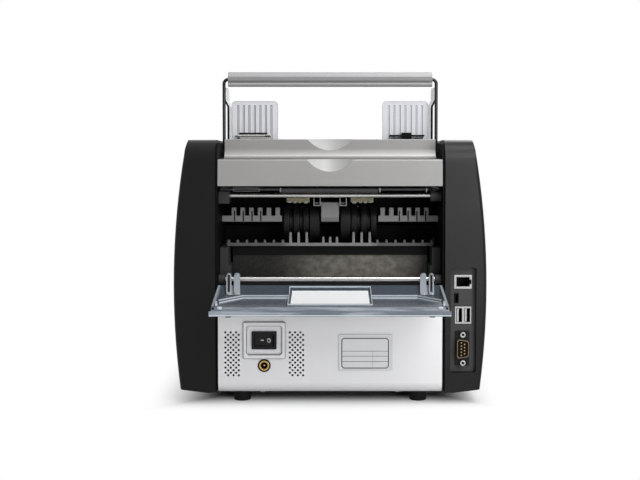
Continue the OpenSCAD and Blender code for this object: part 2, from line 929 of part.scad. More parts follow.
module rod_blocks() {
    color("black") placed() {
        both_sides() difference() {
            union() {
                block([block_x, seat_x], block_d, [block_z, bar_top - block_step]);
                block([block_x + block_step_w, seat_x], block_d, [block_z, bar_top]);
                rod([seat_x - hinge_boss_w, seat_x], [hinge_d, hinge_z], hinge_boss_r);
                block([seat_x - hinge_boss_w, seat_x], [hinge_d, block_d[0] + 1],
                      span(hinge_z, hinge_web_h));
            }
            rod([block_x, half_inner], [hinge_d, hinge_z], door_rod_r + running_gap);
        }
        difference() {
            union() {
                block([block_x, seat_x], mount_d, [tie_z - mount_h / 2, tie_z + mount_h / 2 - tie_clip]);
                rod([-seat_x, -block_x], [tie_d, tie_z], boss_r);
            }
            rod([-half_inner, half_inner], [tie_d, tie_z], tie_r + running_gap);
        }
    }
}

module pocket_roof() {
    color("dimgray") placed() difference() {
        union() {
            block([-seat_x, seat_x], roof_d, [roof_z, roof_z + roof_t]);
            block([-roof_lip_x, roof_lip_x], [roof_d[0] - roof_lip_t, roof_d[0]],
                  [roof_z + roof_t - roof_lip_h, roof_z + roof_t]);
        }
        both_sides() block([notch_x - notch_w / 2, notch_x + notch_w / 2],
                           [roof_d[0] - roof_lip_t - notch_past, roof_d[0]],
                           [roof_z + roof_t - roof_lip_h - notch_past, roof_z]);
    }
}

module sensor_boards() {
    color("olivedrab") placed() both_sides()
        block(board_x, [board_d, board_d + board_t], [roof_z - board_h, roof_z]);
}

module flap_brackets() {
    color("silver") placed() both_sides() difference() {
        block(bracket_x, span(flap_pin[0], bracket_d), [flap_pin[1] - bracket_drop, roof_z]);
        block([bracket_x[0] + bracket_wall, bracket_x[1] - bracket_wall], span(flap_pin[0], bracket_d + 2),
              [flap_pin[1] - bracket_drop + bracket_wall, roof_z + 1]);
        rod([bracket_x[0] - 1, bracket_x[1] + 1], flap_pin, flap_pin_r + running_gap);
    }
}

module pressure_flap() {
    tip = flap_pin[1] - flap_len;
    top = flap_pin[1] + flap_t / 4;
    near = flap_pin[0] - flap_t / 2;
    far = flap_pin[0] + flap_t / 2;
    color("lightgray") placed() {
        prism([-flap_half, flap_half], rounded([
            [near, top], [far, top], [far, tip + flap_curl, flap_t], [near - flap_t / 2, tip],
            [near - flap_t, tip + flap_t / 2], [near, tip + flap_curl, flap_t]
        ]));
        rod([-bracket_x[1], bracket_x[1]], flap_pin, flap_pin_r);
    }
}

module upper_comb() {
    color("lightgray") placed() both_sides() {
        block([upper_bar_x, seat_x], upper_bar_d, upper_bar_z);
        for (k = [0:upper_teeth - 1])
            block(span(upper_tooth_first + k * upper_tooth_pitch, upper_tooth_w),
                  upper_bar_d, [upper_bar_z[0], upper_tooth_top]);
    }
}

// One tooth of the lower comb, leaning to a narrower tip
module lower_tooth(x, h) {
    base = bar_top + lower_base_h;
    sheet([lower_base_d[0], lower_base_d[0] + lower_tooth_d]) polygon([
        [x - tooth_w / 2, bar_top], [x + tooth_w / 2, bar_top],
        [x + tooth_w / 3, base + h], [x - tooth_w / 3, base + h]
    ]);
}

module lower_comb() {
    color("lightgray") placed() difference() {
        union() {
            block([-lower_base_x, lower_base_x], lower_base_d, [bar_top, bar_top + lower_base_h]);
            both_sides() {
                for (k = [0:outer_teeth - 1])
                    lower_tooth(outer_tooth_first + k * outer_tooth_pitch, outer_tooth_h - lower_base_h);
                for (k = [0:tall_teeth - 1])
                    lower_tooth(tall_tooth_first + k * tall_tooth_pitch, tall_tooth_h - lower_base_h);
            }
            for (k = [-1:1]) lower_tooth(k * mid_tooth_pitch, mid_tooth_h - lower_base_h);
        }
        both_sides() block([wheel_x[0] - wheel_slot, wheel_x[1] + wheel_slot],
                           [lower_base_d[1] - wheel_slot_d, lower_base_d[1] + 1],
                           [bar_top - 1, bar_top + lower_base_h + 1]);
    }
}

module sensor_bar() {
    color("black") placed()
        block([-bar_x, bar_x], bar_d, [bar_top - bar_h, bar_top]);
}

module sensor_window() {
    color("darkslategray") placed()
        block([-bar_x, bar_x], window_d, [panel_top, bar_top - bar_h]);
}

module transport_plate() {
    color("black") placed() difference() {
        block([-seat_x, seat_x], [back_plate_d, back_plate_d + plate_wall], [panel_top, roof_z]);
        both_sides() rod([impeller_x[0] - impeller_slot_gap, impeller_x[1] + impeller_slot_gap],
                         impeller, impeller_r + impeller_slot_gap);
    }
}

module upper_rear_cover() {
    top_d = cover_face_d + cover_lean;
    color("silver") placed() difference() {
        union() {
            prism([-cover_x, cover_x], rounded([
                [cover_face_d, cover_bottom], [top_d, cover_top, cover_round],
                [cover_reach, cover_top], [cover_reach, cover_top - cover_t],
                [top_d + cover_t, cover_top - cover_t],
                [cover_face_d + cover_t, cover_bottom]
            ]));
            block([-scoop_cup_x, scoop_cup_x], [top_d + cover_t / 2, top_d + scoop_cup + scoop_cup_wall],
                  [cover_top - scoop_h - scoop_cup_wall, cover_top - cover_t / 2]);
        }
        scoop(top_d, cover_top);
    }
}

// Round trough of a finger scoop that climbs forward to the top edge
module scoop(d, top) {
    translate([0, -d, top - scoop_h + scoop_r / cos(scoop_tilt)]) rotate([90 - scoop_tilt, 0, 0])
        translate([0, 0, -scoop_r]) cylinder(r = scoop_r, h = 2 * scoop_r, $fn = 96);
}

// Cup behind the hopper back plate's scoop, widened by a gap
module hopper_cup(gap) {
    block([-scoop_cup_x - gap, scoop_cup_x + gap],
          [hopper_d + cover_t / 2, hopper_d + scoop_cup + scoop_cup_wall + gap],
          [hopper_top - scoop_h - hopper_cup_floor - gap, hopper_top]);
}

module hopper_back_plate() {
    foot = cover_top + seat_gap;
    color("silver") placed() difference() {
        union() {
            prism([-hopper_x, hopper_x], rounded([
                [hopper_d - cove_reach, foot], [hopper_d - cove_reach, foot + cove_foot],
                [hopper_d, foot + cove_foot, cove_r], [hopper_d, hopper_top, cover_t / 3],
                [hopper_d + cover_t, hopper_top, cover_t / 3], [hopper_d + cover_t, foot]
            ]));
            hopper_cup(0);
        }
        scoop(hopper_d, hopper_top);
    }
}

// Strip of the hopper tray between two depths
function tray_strip(d) = [
    [d[0], tray_at(d[0])], [d[1], tray_at(d[1])],
    [d[1], tray_at(d[1]) - tray_plate_t], [d[0], tray_at(d[0]) - tray_plate_t]
];

module hopper_tray() {
    color("dimgray") placed() difference() {
        union() {
            prism([seat_gap - hopper_x, hopper_x - seat_gap], tray_strip([tray_start, tray_end]));
            prism([-seat_x, seat_x], tray_strip(tray_tab));
        }
        both_sides() block([pickup_x[0] - pickup_slot_gap, pickup_x[1] + pickup_slot_gap],
                           [pickup_d - pickup_slot[0], pickup_d + pickup_slot[1]],
                           [tray_at(tray_end) - tray_plate_t - 1, tray_top]);
        hopper_cup(seat_gap);
    }
}

module guide_rail() {
    color("silver") placed() rod([-frame_x, frame_x], [rail_d, rail_z], rail_r);
}

// Right hopper guide: ribbed face, side plate with its flare, and the block on the rail
module guide() {
    side_x = hopper_x - guide_t;
    face_x = side_x - guide_split - guide_w / 2;
    face_z = [rail_z - guide_block_below, rail_z + guide_face_h];
    side_top = rail_z + guide_side_h;
    low = rail_z - guide_block_below;
    flare = [rail_z + flare_from, rail_z + flare_from + flare_h];
    difference() {
        union() {
            sheet([guide_block_d[0], guide_block_d[0] + guide_t])
                translate([face_x, (face_z[0] + face_z[1]) / 2])
                    soft_rect([guide_w, face_z[1] - face_z[0]], guide_round);
            block([face_x - guide_w / 2 + guide_round, hopper_x], guide_block_d,
                  [low, rail_z + guide_block_above]);
            intersection() {
                sheet([guide_block_d[0], guide_block_d[0] + guide_side_len]) polygon(rounded([
                    [side_x, low - guide_drop], [hopper_x, low - guide_drop],
                    [hopper_x, flare[0], guide_round], [hopper_x + flare_out, flare[1], guide_round],
                    [hopper_x + flare_out, side_top], [side_x + flare_out, side_top],
                    [side_x + flare_out, flare[1], guide_round], [side_x, flare[0], guide_round]
                ], 4));
                prism([0, half_inner], rounded([
                    [guide_block_d[0], low], [guide_block_d[1], low],
                    [guide_block_d[0] + guide_side_len, tray_at(guide_block_d[0] + guide_side_len) + guide_t],
                    [guide_block_d[0] + guide_side_len, side_top, 2 * guide_round],
                    [guide_block_d[0], side_top, 2 * guide_round]
                ]));
            }
        }
        rod([0, half_inner], [rail_d, rail_z], rail_r + running_gap);
        for (k = [0:groove_count - 1])
            block(span(face_x + (k - (groove_count - 1) / 2) * groove_pitch, groove_w),
                  [guide_block_d[0] - 1, guide_block_d[0] + groove_deep],
                  [rail_z + guide_block_above, face_z[1] - groove_top]);
    }
}

// Piece of a guide's clip, given inwards from the guide's side and up from the rail
module clip_block(x, d, h) {
    block([hopper_x - x[1], hopper_x - x[0]], d, [rail_z + h[0], rail_z + h[1]]);
}

module right_guide() {
    color("whitesmoke") placed() guide();
}

module left_guide() {
    color("whitesmoke") placed() mirror([1, 0, 0]) guide();
}

module right_guide_clip() {
    color("darkgray") placed() {
        clip_block(clip_x, clip_d, clip_h);
        clip_block(clip_bracket_x, [clip_d[0] + clip_bracket_set, clip_d[1]], clip_bracket_h);
    }
}

module left_guide_clip() {
    color("black") placed() mirror([1, 0, 0]) {
        clip_block(clip_x, clip_d, clip_h);
        clip_block(clip_knob_x, [clip_d[0] - clip_knob_d, clip_d[1]], clip_knob_h);
    }
}

module bail_wire() {
    color("silver") placed() translate([0, -bail_d, bail_z]) {
        both_sides() {
            translate([bail_x, 0, 0]) {
                sphere(r = wire_r);
                rotate([0, 90, 0]) cylinder(r = wire_r, h = frame_x + bail_pin_out - bail_x);
                cylinder(r = wire_r, h = bail_h - bend_r);
            }
            translate([grip_x, 0, bail_h - bend_r]) rotate([90, 0, 0]) rotate_extrude(angle = 90)
                translate([bend_r, 0]) circle(r = wire_r);
        }
        translate([-grip_x, 0, bail_h]) rotate([0, 90, 0]) cylinder(r = wire_r, h = 2 * grip_x);
    }
}

module bail_grip() {
    low = bail_z + bail_h - grip_h / 2;
    high = low + grip_h;
    near = bail_d - grip_d / 2;
    line_z = low + grip_line_h;
    color("gray") placed() difference() {
        prism([-grip_x, grip_x], rounded([
            [near, low, grip_round], [near, high - grip_bevel, grip_bevel_round],
            [near + grip_bevel, high, grip_bevel_round],
            [bail_d + grip_d / 2, high, grip_round], [bail_d + grip_d / 2, low, grip_round]
        ]));
        rod([-grip_x - 1, grip_x + 1], [bail_d, bail_z + bail_h], wire_r + press_gap);
        block([-grip_x - 1, grip_x + 1], [near - 1, near + grip_line_w], [line_z, line_z + grip_line_w]);
    }
}

module drive_shaft() {
    color("silver") placed() rod([-frame_x - shaft_end, track_start + 3 * track_pitch], drive, shaft_r);
}

module drive_wheels() {
    color("black") placed() both_sides() difference() {
        rod(wheel_x, drive, wheel_r);
        rod([wheel_x[0] - 1, wheel_x[1] + 1], drive, shaft_r + press_gap);
    }
}

module ribbed_rollers() {
    pitch = (roller_x[1] - roller_x[0] - roller_ring_w) / (roller_rings - 1);
    color("black") placed() both_sides() difference() {
        union() {
            rod(roller_x, drive, roller_r - roller_groove);
            for (k = [0:roller_rings - 1])
                rod([roller_x[0] + k * pitch, roller_x[0] + k * pitch + roller_ring_w], drive, roller_r);
        }
        rod([roller_x[0] - 1, roller_x[1] + 1], drive, shaft_r + press_gap);
    }
}

function track_x(k) = [track_start + k * track_pitch, track_start + (k + 1) * track_pitch];

// Flanged pulley on one of the belt tracks
module pulley(k, at, r) {
    rod(track_x(k), at, r);
    rod([track_x(k)[0], track_x(k)[0] + flange_t], at, r + belt_gap + belt_t + flange_rise);
    rod([track_x(k)[1] - flange_t, track_x(k)[1]], at, r + belt_gap + belt_t + flange_rise);
}

module drive_pulley() {
    color("dimgray") placed() difference() {
        union() {
            pulley(0, drive, drive_pulley_r);
            pulley(1, drive, pickup_pulley_r);
            pulley(2, drive, stack_pulley_r);
        }
        rod([frame_x, track_x(3)[1]], drive, shaft_r + press_gap);
    }
}

module pickup_shaft() {
    color("silver") placed() {
        rod([-frame_x - shaft_end, track_x(1)[1]], pickup, shaft_r);
        pulley(1, pickup, pickup_pulley_r);
    }
}

module pickup_rollers() {
    color("black") placed() both_sides() difference() {
        rod(pickup_x, pickup, pickup_r);
        rod([pickup_x[0] - 1, pickup_x[1] + 1], pickup, shaft_r + press_gap);
    }
}

module impeller_shaft() {
    color("silver") placed() {
        rod([-frame_x - shaft_end, track_x(2)[1]], impeller, shaft_r);
        pulley(2, impeller, impeller_pulley_r);
    }
}

module impellers() {
    color("gray") placed() both_sides()
        translate([impeller_x[0], -impeller[0], impeller[1]]) rotate([90, 0, 90])
            linear_extrude(impeller_x[1] - impeller_x[0]) difference() {
                union() {
                    circle(r = impeller_hub_r);
                    for (k = [0:blade_count - 1]) rotate(k * 360 / blade_count)
                        translate([impeller_hub_r - blade_t, 0]) rotate(blade_lean)
                            translate([0, -blade_t / 2]) square([blade_length(), blade_t]);
                }
                circle(r = shaft_r + press_gap);
            }
}

// Length of a leaning blade whose tip meets the impeller's radius
function blade_length() =
    let (root = impeller_hub_r - blade_t, run = root * cos(blade_lean), tip = impeller_r - blade_t)
    sqrt(tip * tip - root * root + run * run) - run;

module shaft_bushes() {
    color("goldenrod") placed() both_sides() for (at = [drive, pickup, impeller]) difference() {
        union() {
            rod([half_inner, frame_x + bush_flange_t], at, shaft_r + bush_wall);
            rod([frame_x, frame_x + bush_flange_t], at, shaft_r + bush_wall + bush_flange);
        }
        rod([half_inner - 1, frame_x + bush_flange_t + 1], at, shaft_r + running_gap);
    }
}

module main_motor() {
    color("dimgray") placed() difference() {
        rod([seat_x - motor_len, seat_x], motor, motor_r);
        rod([seat_x - motor_shaft_in - 1, half_inner], motor, motor_shaft_r + running_gap);
    }
}

module motor_pulley() {
    color("silver") placed() {
        rod([seat_x - motor_shaft_in, track_x(0)[1]], motor, motor_shaft_r);
        pulley(0, motor, motor_pulley_r);
    }
}

// Belt round two pulleys on one track
module belt(k, at_1, r_1, at_2, r_2) {
    translate([track_x(k)[0] + flange_t + track_side, 0, 0]) rotate([90, 0, 90])
        linear_extrude(belt_w) difference() {
            belt_loop(at_1, r_1 + belt_gap + belt_t, at_2, r_2 + belt_gap + belt_t);
            belt_loop(at_1, r_1 + belt_gap, at_2, r_2 + belt_gap);
        }
}

module belt_loop(at_1, r_1, at_2, r_2) {
    hull() {
        translate([-at_1[0], at_1[1]]) circle(r = r_1, $fn = 64);
        translate([-at_2[0], at_2[1]]) circle(r = r_2, $fn = 64);
    }
}

module drive_belts() {
    color("black") placed() {
        belt(0, motor, motor_pulley_r, drive, drive_pulley_r);
        belt(1, drive, pickup_pulley_r, pickup, pickup_pulley_r);
        belt(2, drive, stack_pulley_r, impeller, impeller_pulley_r);
    }
}

// Frame of the control panel: its slope runs towards -Y, its face points to +Z
module on_panel() {
    translate([0, -control_d, control_z]) rotate([panel_tilt, 0, 0]) children();
}

function key_at(i) = [key_first[0] + key_step[0] * (i % 2), key_first[1] - key_step[1] * floor(i / 2)];

// Height of the control panel's underside at a depth
function panel_under(d) = control_z - (d - control_d) * tan(panel_tilt) - control_t / cos(panel_tilt);

module control_panel() {
    nose = [control_d + control_len * cos(panel_tilt), control_z - control_len * sin(panel_tilt)];
    inner = [control_d + control_t, nose[0] - control_t];
    color("black") placed() {
        difference() {
            prism([-cover_x, cover_x], rounded([
                [control_d, control_z, control_round], [nose[0], nose[1], control_round],
                [nose[0], nose[1] - control_nose], [inner[1], nose[1] - control_nose],
                [inner[1], panel_under(inner[1])], [inner[0], panel_under(inner[0])],
                [inner[0], control_z - control_lip], [control_d, control_z - control_lip]
            ]));
            on_panel() for (i = [0:3]) translate(key_at(i)) translate([0, 0, -control_t - 1])
                linear_extrude(control_t + 2)
                    soft_rect([key_w + 2 * key_gap, key_l + 2 * key_gap], key_round + key_gap);
            on_panel() translate([lens_x, lens_y, -lens_t])
                linear_extrude(lens_t + 1) soft_rect([lens_w, lens_l], key_round);
        }
        on_panel() for (x = control_board_x, y = control_board_y)
            translate([inward(x, control_board_x), inward(y, control_board_y), control_board_z])
                cylinder(r = post_r, h = -control_board_z - control_t / 2);
    }
}

module display_lens() {
    color("darkslategray") placed() on_panel() translate([lens_x, lens_y, -lens_t]) linear_extrude(lens_t)
        soft_rect([lens_w - 2 * seat_gap, lens_l - 2 * seat_gap], key_round - seat_gap);
}

module control_board() {
    size = [control_board_x[1] - control_board_x[0], control_board_y[1] - control_board_y[0], control_board_t];
    color("darkgreen") placed() on_panel()
        translate([control_board_x[0], control_board_y[0], control_board_z - control_board_t]) cube(size);
}

module key(i) {
    flange_z = -control_t - seat_gap - key_flange_t;
    stem = control_board_z + key_travel + seat_gap;
    color("gray") placed() on_panel() translate(key_at(i)) {
        translate([0, 0, flange_z]) linear_extrude(key_proud - flange_z) soft_rect([key_w, key_l], key_round);
        translate([0, 0, flange_z]) linear_extrude(key_flange_t)
            soft_rect([key_w + 2 * key_flange, key_l + 2 * key_flange], key_round);
        translate([0, 0, stem]) cylinder(r = key_stem_r, h = -stem);
    }
}

module stacker_tray() {
    front = body_depth - stacker_front_gap;
    slot_h = impeller_r + impeller_slot_gap;
    color("black") placed() difference() {
        prism([-cover_x, cover_x], rounded([
            [stacker_d, stacker_z + stacker_back_h], [stacker_d + stacker_t, stacker_z + stacker_back_h],
            [stacker_d + stacker_t, stacker_z, stacker_round], [front, stacker_z, stacker_round],
            [front, tray_z + tray_t], [front - stacker_t, tray_z + tray_t],
            [front - stacker_t, stacker_z - stacker_t], [stacker_d, stacker_z - stacker_t]
        ]));
        both_sides() block([impeller_x[0] - impeller_slot_gap, impeller_x[1] + impeller_slot_gap],
                           [stacker_d - 1, stacker_d + stacker_t + stacker_round],
                           [impeller[1] - slot_h, impeller[1] + slot_h]);
    }
}

module main_board() {
    color("darkgreen") placed() mirror([1, 0, 0])
        block([main_board_x, main_board_x + board_t], main_board_d, main_board_z);
}

module network_jack() {
    color("silver") placed() mirror([1, 0, 0]) translate([network_at[0], 0, network_at[1]]) difference() {
        sheet([port_face, port_face + network_deep]) square(network_size, center = true);
        sheet([port_face - 1, port_face + network_hole_deep]) {
            square(network_hole, center = true);
            translate([network_hole[0] / 2, 0]) square(latch_size, center = true);
        }
    }
}

module usb_jacks() {
    color("silver") placed() mirror([1, 0, 0]) {
        translate([usb_at[0], 0, usb_at[1]]) difference() {
            sheet([port_face, port_face + usb_deep]) square(usb_size, center = true);
            for (side = [-1, 1])
                sheet([port_face - 1, port_face + usb_slot_deep]) translate([side * usb_slot_pitch / 2, 0])
                    difference() {
                        square(usb_slot, center = true);
                        translate([-usb_slot[0] / 4, 0])
                            square([usb_tongue_t, usb_slot[1] - usb_tongue_gap], center = true);
                    }
        }
        translate([service_at[0], 0, service_at[1]]) difference() {
            sheet([port_face, port_face + service_deep]) square(service_size, center = true);
            sheet([port_face - 1, port_face + service_deep - service_wall])
                port_rect([0, 0], service_size, -service_wall);
        }
    }
}

// Outline of the serial port's shell, narrower on one long side
module serial_outline(inset) {
    w = serial_shell[0] / 2 - inset;
    h = serial_shell[1] / 2 - inset;
    polygon(rounded([[-w, -h, 2], [w, serial_slant - h, 2], [w, h - serial_slant, 2], [-w, h, 2]], 6));
}

module serial_port() {
    floor_d = port_floor - seat_gap;
    color("silver") placed() mirror([1, 0, 0]) translate([serial_at[0], 0, serial_at[1]]) difference() {
        union() {
            sheet([floor_d - serial_flange_t - serial_proud, floor_d]) serial_outline(0);
            difference() {
                sheet([floor_d - serial_flange_t, floor_d]) soft_rect(serial_flange, 1);
                for (side = [-1, 1])
                    peg([0, side * jackscrew_pitch / 2], [floor_d - serial_flange_t - 1, floor_d + 1],
                        jackscrew_hole_r + port_fit);
            }
            sheet([floor_d, floor_d + serial_deep]) square(serial_body, center = true);
        }
        sheet([floor_d - serial_flange_t - serial_proud - 1, floor_d - serial_flange_t]) difference() {
            serial_outline(serial_wall);
            for (row = [0, 1], k = [0:4 - row])
                translate([(row - 0.5) * serial_row_gap, (k - (4 - row) / 2) * serial_pin_pitch])
                    circle(r = serial_pin_r, $fn = 16);
        }
    }
}

module fasteners() {
    color("gainsboro") placed() {
        mirror([1, 0, 0]) for (side = [-1, 1]) {
            at = serial_at + [0, side * jackscrew_pitch / 2];
            head = port_floor - seat_gap - serial_flange_t;
            difference() {
                union() {
                    peg(at, [head - jackscrew_len, head], jackscrew_r);
                    peg(at, [head, port_floor + housing_wall + 1], jackscrew_hole_r);
                }
                peg(at, [head - jackscrew_len - 1, head - 1], jackscrew_hole_r);
            }
        }
        both_sides() translate([foot_x - screw_inset, -screw_d, flange_gap - screw_h])
            cylinder(r = screw_r, h = screw_h);
    }
}

base_tray();
feet();
left_side_frame();
right_side_frame();
left_housing();
right_housing();
rear_panel();
rating_plate();
switch_body();
switch_rocker();
power_jack();
jack_sleeve();
rear_door();
door_rod();
tie_rod();
rod_blocks();
pocket_roof();
sensor_boards();
flap_brackets();
pressure_flap();
upper_comb();
lower_comb();
sensor_bar();
sensor_window();
transport_plate();
upper_rear_cover();
hopper_back_plate();
hopper_tray();
guide_rail();
left_guide();
right_guide();
left_guide_clip();
right_guide_clip();
bail_wire();
bail_grip();
drive_shaft();
drive_wheels();
ribbed_rollers();
drive_pulley();
pickup_shaft();
pickup_rollers();
impeller_shaft();
impellers();
shaft_bushes();
main_motor();
motor_pulley();
drive_belts();
control_panel();
display_lens();
control_board();
key(0);  // key_1
key(1);  // key_2
key(2);  // key_3
key(3);  // key_4
stacker_tray();
main_board();
network_jack();
usb_jacks();
serial_port();
fasteners();
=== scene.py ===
"""Finish of a banknote counter, seen from behind with its rear door open.

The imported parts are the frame. Visible parts get copies with softened edges, small
fittings are modelled in place, and each surface gets a procedural finish.
"""
import json
from contextlib import contextmanager
from math import pi, radians

import bmesh
import bpy
from mathutils import Matrix, Vector


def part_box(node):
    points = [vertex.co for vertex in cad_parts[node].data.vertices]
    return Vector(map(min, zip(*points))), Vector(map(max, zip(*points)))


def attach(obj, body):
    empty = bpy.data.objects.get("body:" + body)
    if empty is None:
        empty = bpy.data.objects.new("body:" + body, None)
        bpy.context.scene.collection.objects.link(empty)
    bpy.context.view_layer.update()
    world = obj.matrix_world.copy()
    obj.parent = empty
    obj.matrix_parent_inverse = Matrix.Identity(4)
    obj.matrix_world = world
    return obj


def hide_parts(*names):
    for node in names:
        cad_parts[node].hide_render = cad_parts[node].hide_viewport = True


bl_info = {
    "name": "Banknote Counter Finish",
    "version": (1, 0, 0),
    "blender": (4, 5, 0),
    "location": "3D View > Sidebar > Counter",
    "description": "Softened parts, fittings, finishes and a studio for a banknote counter",
    "category": "Object",
}

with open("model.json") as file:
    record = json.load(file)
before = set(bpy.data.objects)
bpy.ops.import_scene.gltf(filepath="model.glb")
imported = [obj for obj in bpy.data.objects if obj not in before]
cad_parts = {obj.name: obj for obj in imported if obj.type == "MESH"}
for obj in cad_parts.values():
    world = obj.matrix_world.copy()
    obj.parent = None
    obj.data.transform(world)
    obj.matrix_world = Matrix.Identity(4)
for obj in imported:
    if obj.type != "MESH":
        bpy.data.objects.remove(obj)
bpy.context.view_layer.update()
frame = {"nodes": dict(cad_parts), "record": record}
MM = 0.001
BOTH_SIDES = (-1, 1)
SLOT_OF = {part["node"]: part["material_slot"] for part in frame["record"]["subparts"]}
BODY_OF = {node: body for body, nodes in frame["record"]["behaviour"]["bodies"].items() for node in nodes}

# The door's hinge axis and the base tray, in mm forward of the rear face and above the body's underside
HINGE_DEPTH = 12
HINGE_HEIGHT = 100
TRAY_HEIGHT = 2
REAR = sum(corner.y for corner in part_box("door_rod")) / 2 + HINGE_DEPTH * MM
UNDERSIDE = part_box("base_tray")[0].z - TRAY_HEIGHT * MM

# Upper face of the open door, as mm out from the hinge axis and above it: root, bend, lip and end
DOOR_PROFILE = ((12.0, -4.0), (29.0, -10.0), (71.5, -14.4), (78.5, -19.0))
DOOR_BEND = DOOR_PROFILE[1][0]
LIP_START = REAR + (DOOR_PROFILE[2][0] - HINGE_DEPTH) * MM

# Meshes: what counts as one point, flat, sharp or smooth, and the steps of a rounded edge
SAME_POINT = 2e-6
FLAT_ANGLE = radians(0.6)
SHARP_ANGLE = radians(30)
SMOOTH_ANGLE = radians(38)
ROUND_STEPS = 2
WIDE_STEPS = 4

# Heights of the reliefs in the finishes, and the refraction of clear plastic
FINE_RELIEF = 0.05 * MM
GRAIN_RELIEF = 0.1 * MM
FLOW_RELIEF = 0.5 * MM
CLEAR_IOR = 1.49

# Grinding lines along an axis, as the stretch of their noise
ALONG_X = (0.05, 1, 1)
ALONG_Y = (1, 0.05, 1)
ALONG_Z = (1, 1, 0.05)
LONG_ALONG_X = (0.04, 1, 1)


def spot(across, depth, height):
    """A place in metres, from mm across, forward of the rear face and above the underside."""
    return Vector((across * MM, REAR - depth * MM, UNDERSIDE + height * MM))


def extent(node):
    """A node's box as mm ranges across, forward of the rear face and above the underside."""
    low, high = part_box(node)
    return ((low.x / MM, high.x / MM),
            ((REAR - high.y) / MM, (REAR - low.y) / MM),
            ((low.z - UNDERSIDE) / MM, (high.z - UNDERSIDE) / MM))


def centre(node):
    """The middle of a node, as mm across and above the underside."""
    x, _, z = extent(node)
    return sum(x) / 2, sum(z) / 2


def about(middle, half):
    """A range of so much on each side of a middle."""
    return middle - half, middle + half


# Sockets in the port recess, as mm across and above the underside, and the depth of their faces
PORT_FACE = extent("network_jack")[1][0]
NETWORK_X, NETWORK_Z = centre("network_jack")
SERIAL_X, SERIAL_Z = centre("serial_port")
USB_X, USB_Z = -117.8, 68.2
USB_OFFSET = 3.55
SERVICE_X, SERVICE_Z = -112.0, 83.4

# Lamps: place and size in metres, power in watts
LAMPS = (
    ("key_lamp", (-0.92, 1.60, 1.40), 1.1, 36.0),
    ("low_lamp", (-0.90, 1.65, 0.24), 0.7, 14.0),
    ("top_lamp", (-0.35, 0.35, 1.60), 0.9, 18.0),
    ("front_lamp", (-0.50, -1.70, 1.20), 1.2, 14.0),
)

# Camera: lens and sensor in mm, shift as a share of the frame's width, tilt down in degrees
LENS = 64.4
SENSOR = 36.0
SHIFT_X, SHIFT_Y = -0.0158, -0.078
TILT = 2.6


def colour(name, description, default):
    """A colour that a user may change."""
    return bpy.props.FloatVectorProperty(
        name=name, description=description, subtype="COLOR", size=3, min=0.0, max=1.0, default=default)


def length(name, description, millimetres):
    """A length that a user may change, given in mm."""
    return bpy.props.FloatProperty(
        name=name, description=description, unit="LENGTH", precision=5, min=0.0, default=millimetres * MM)


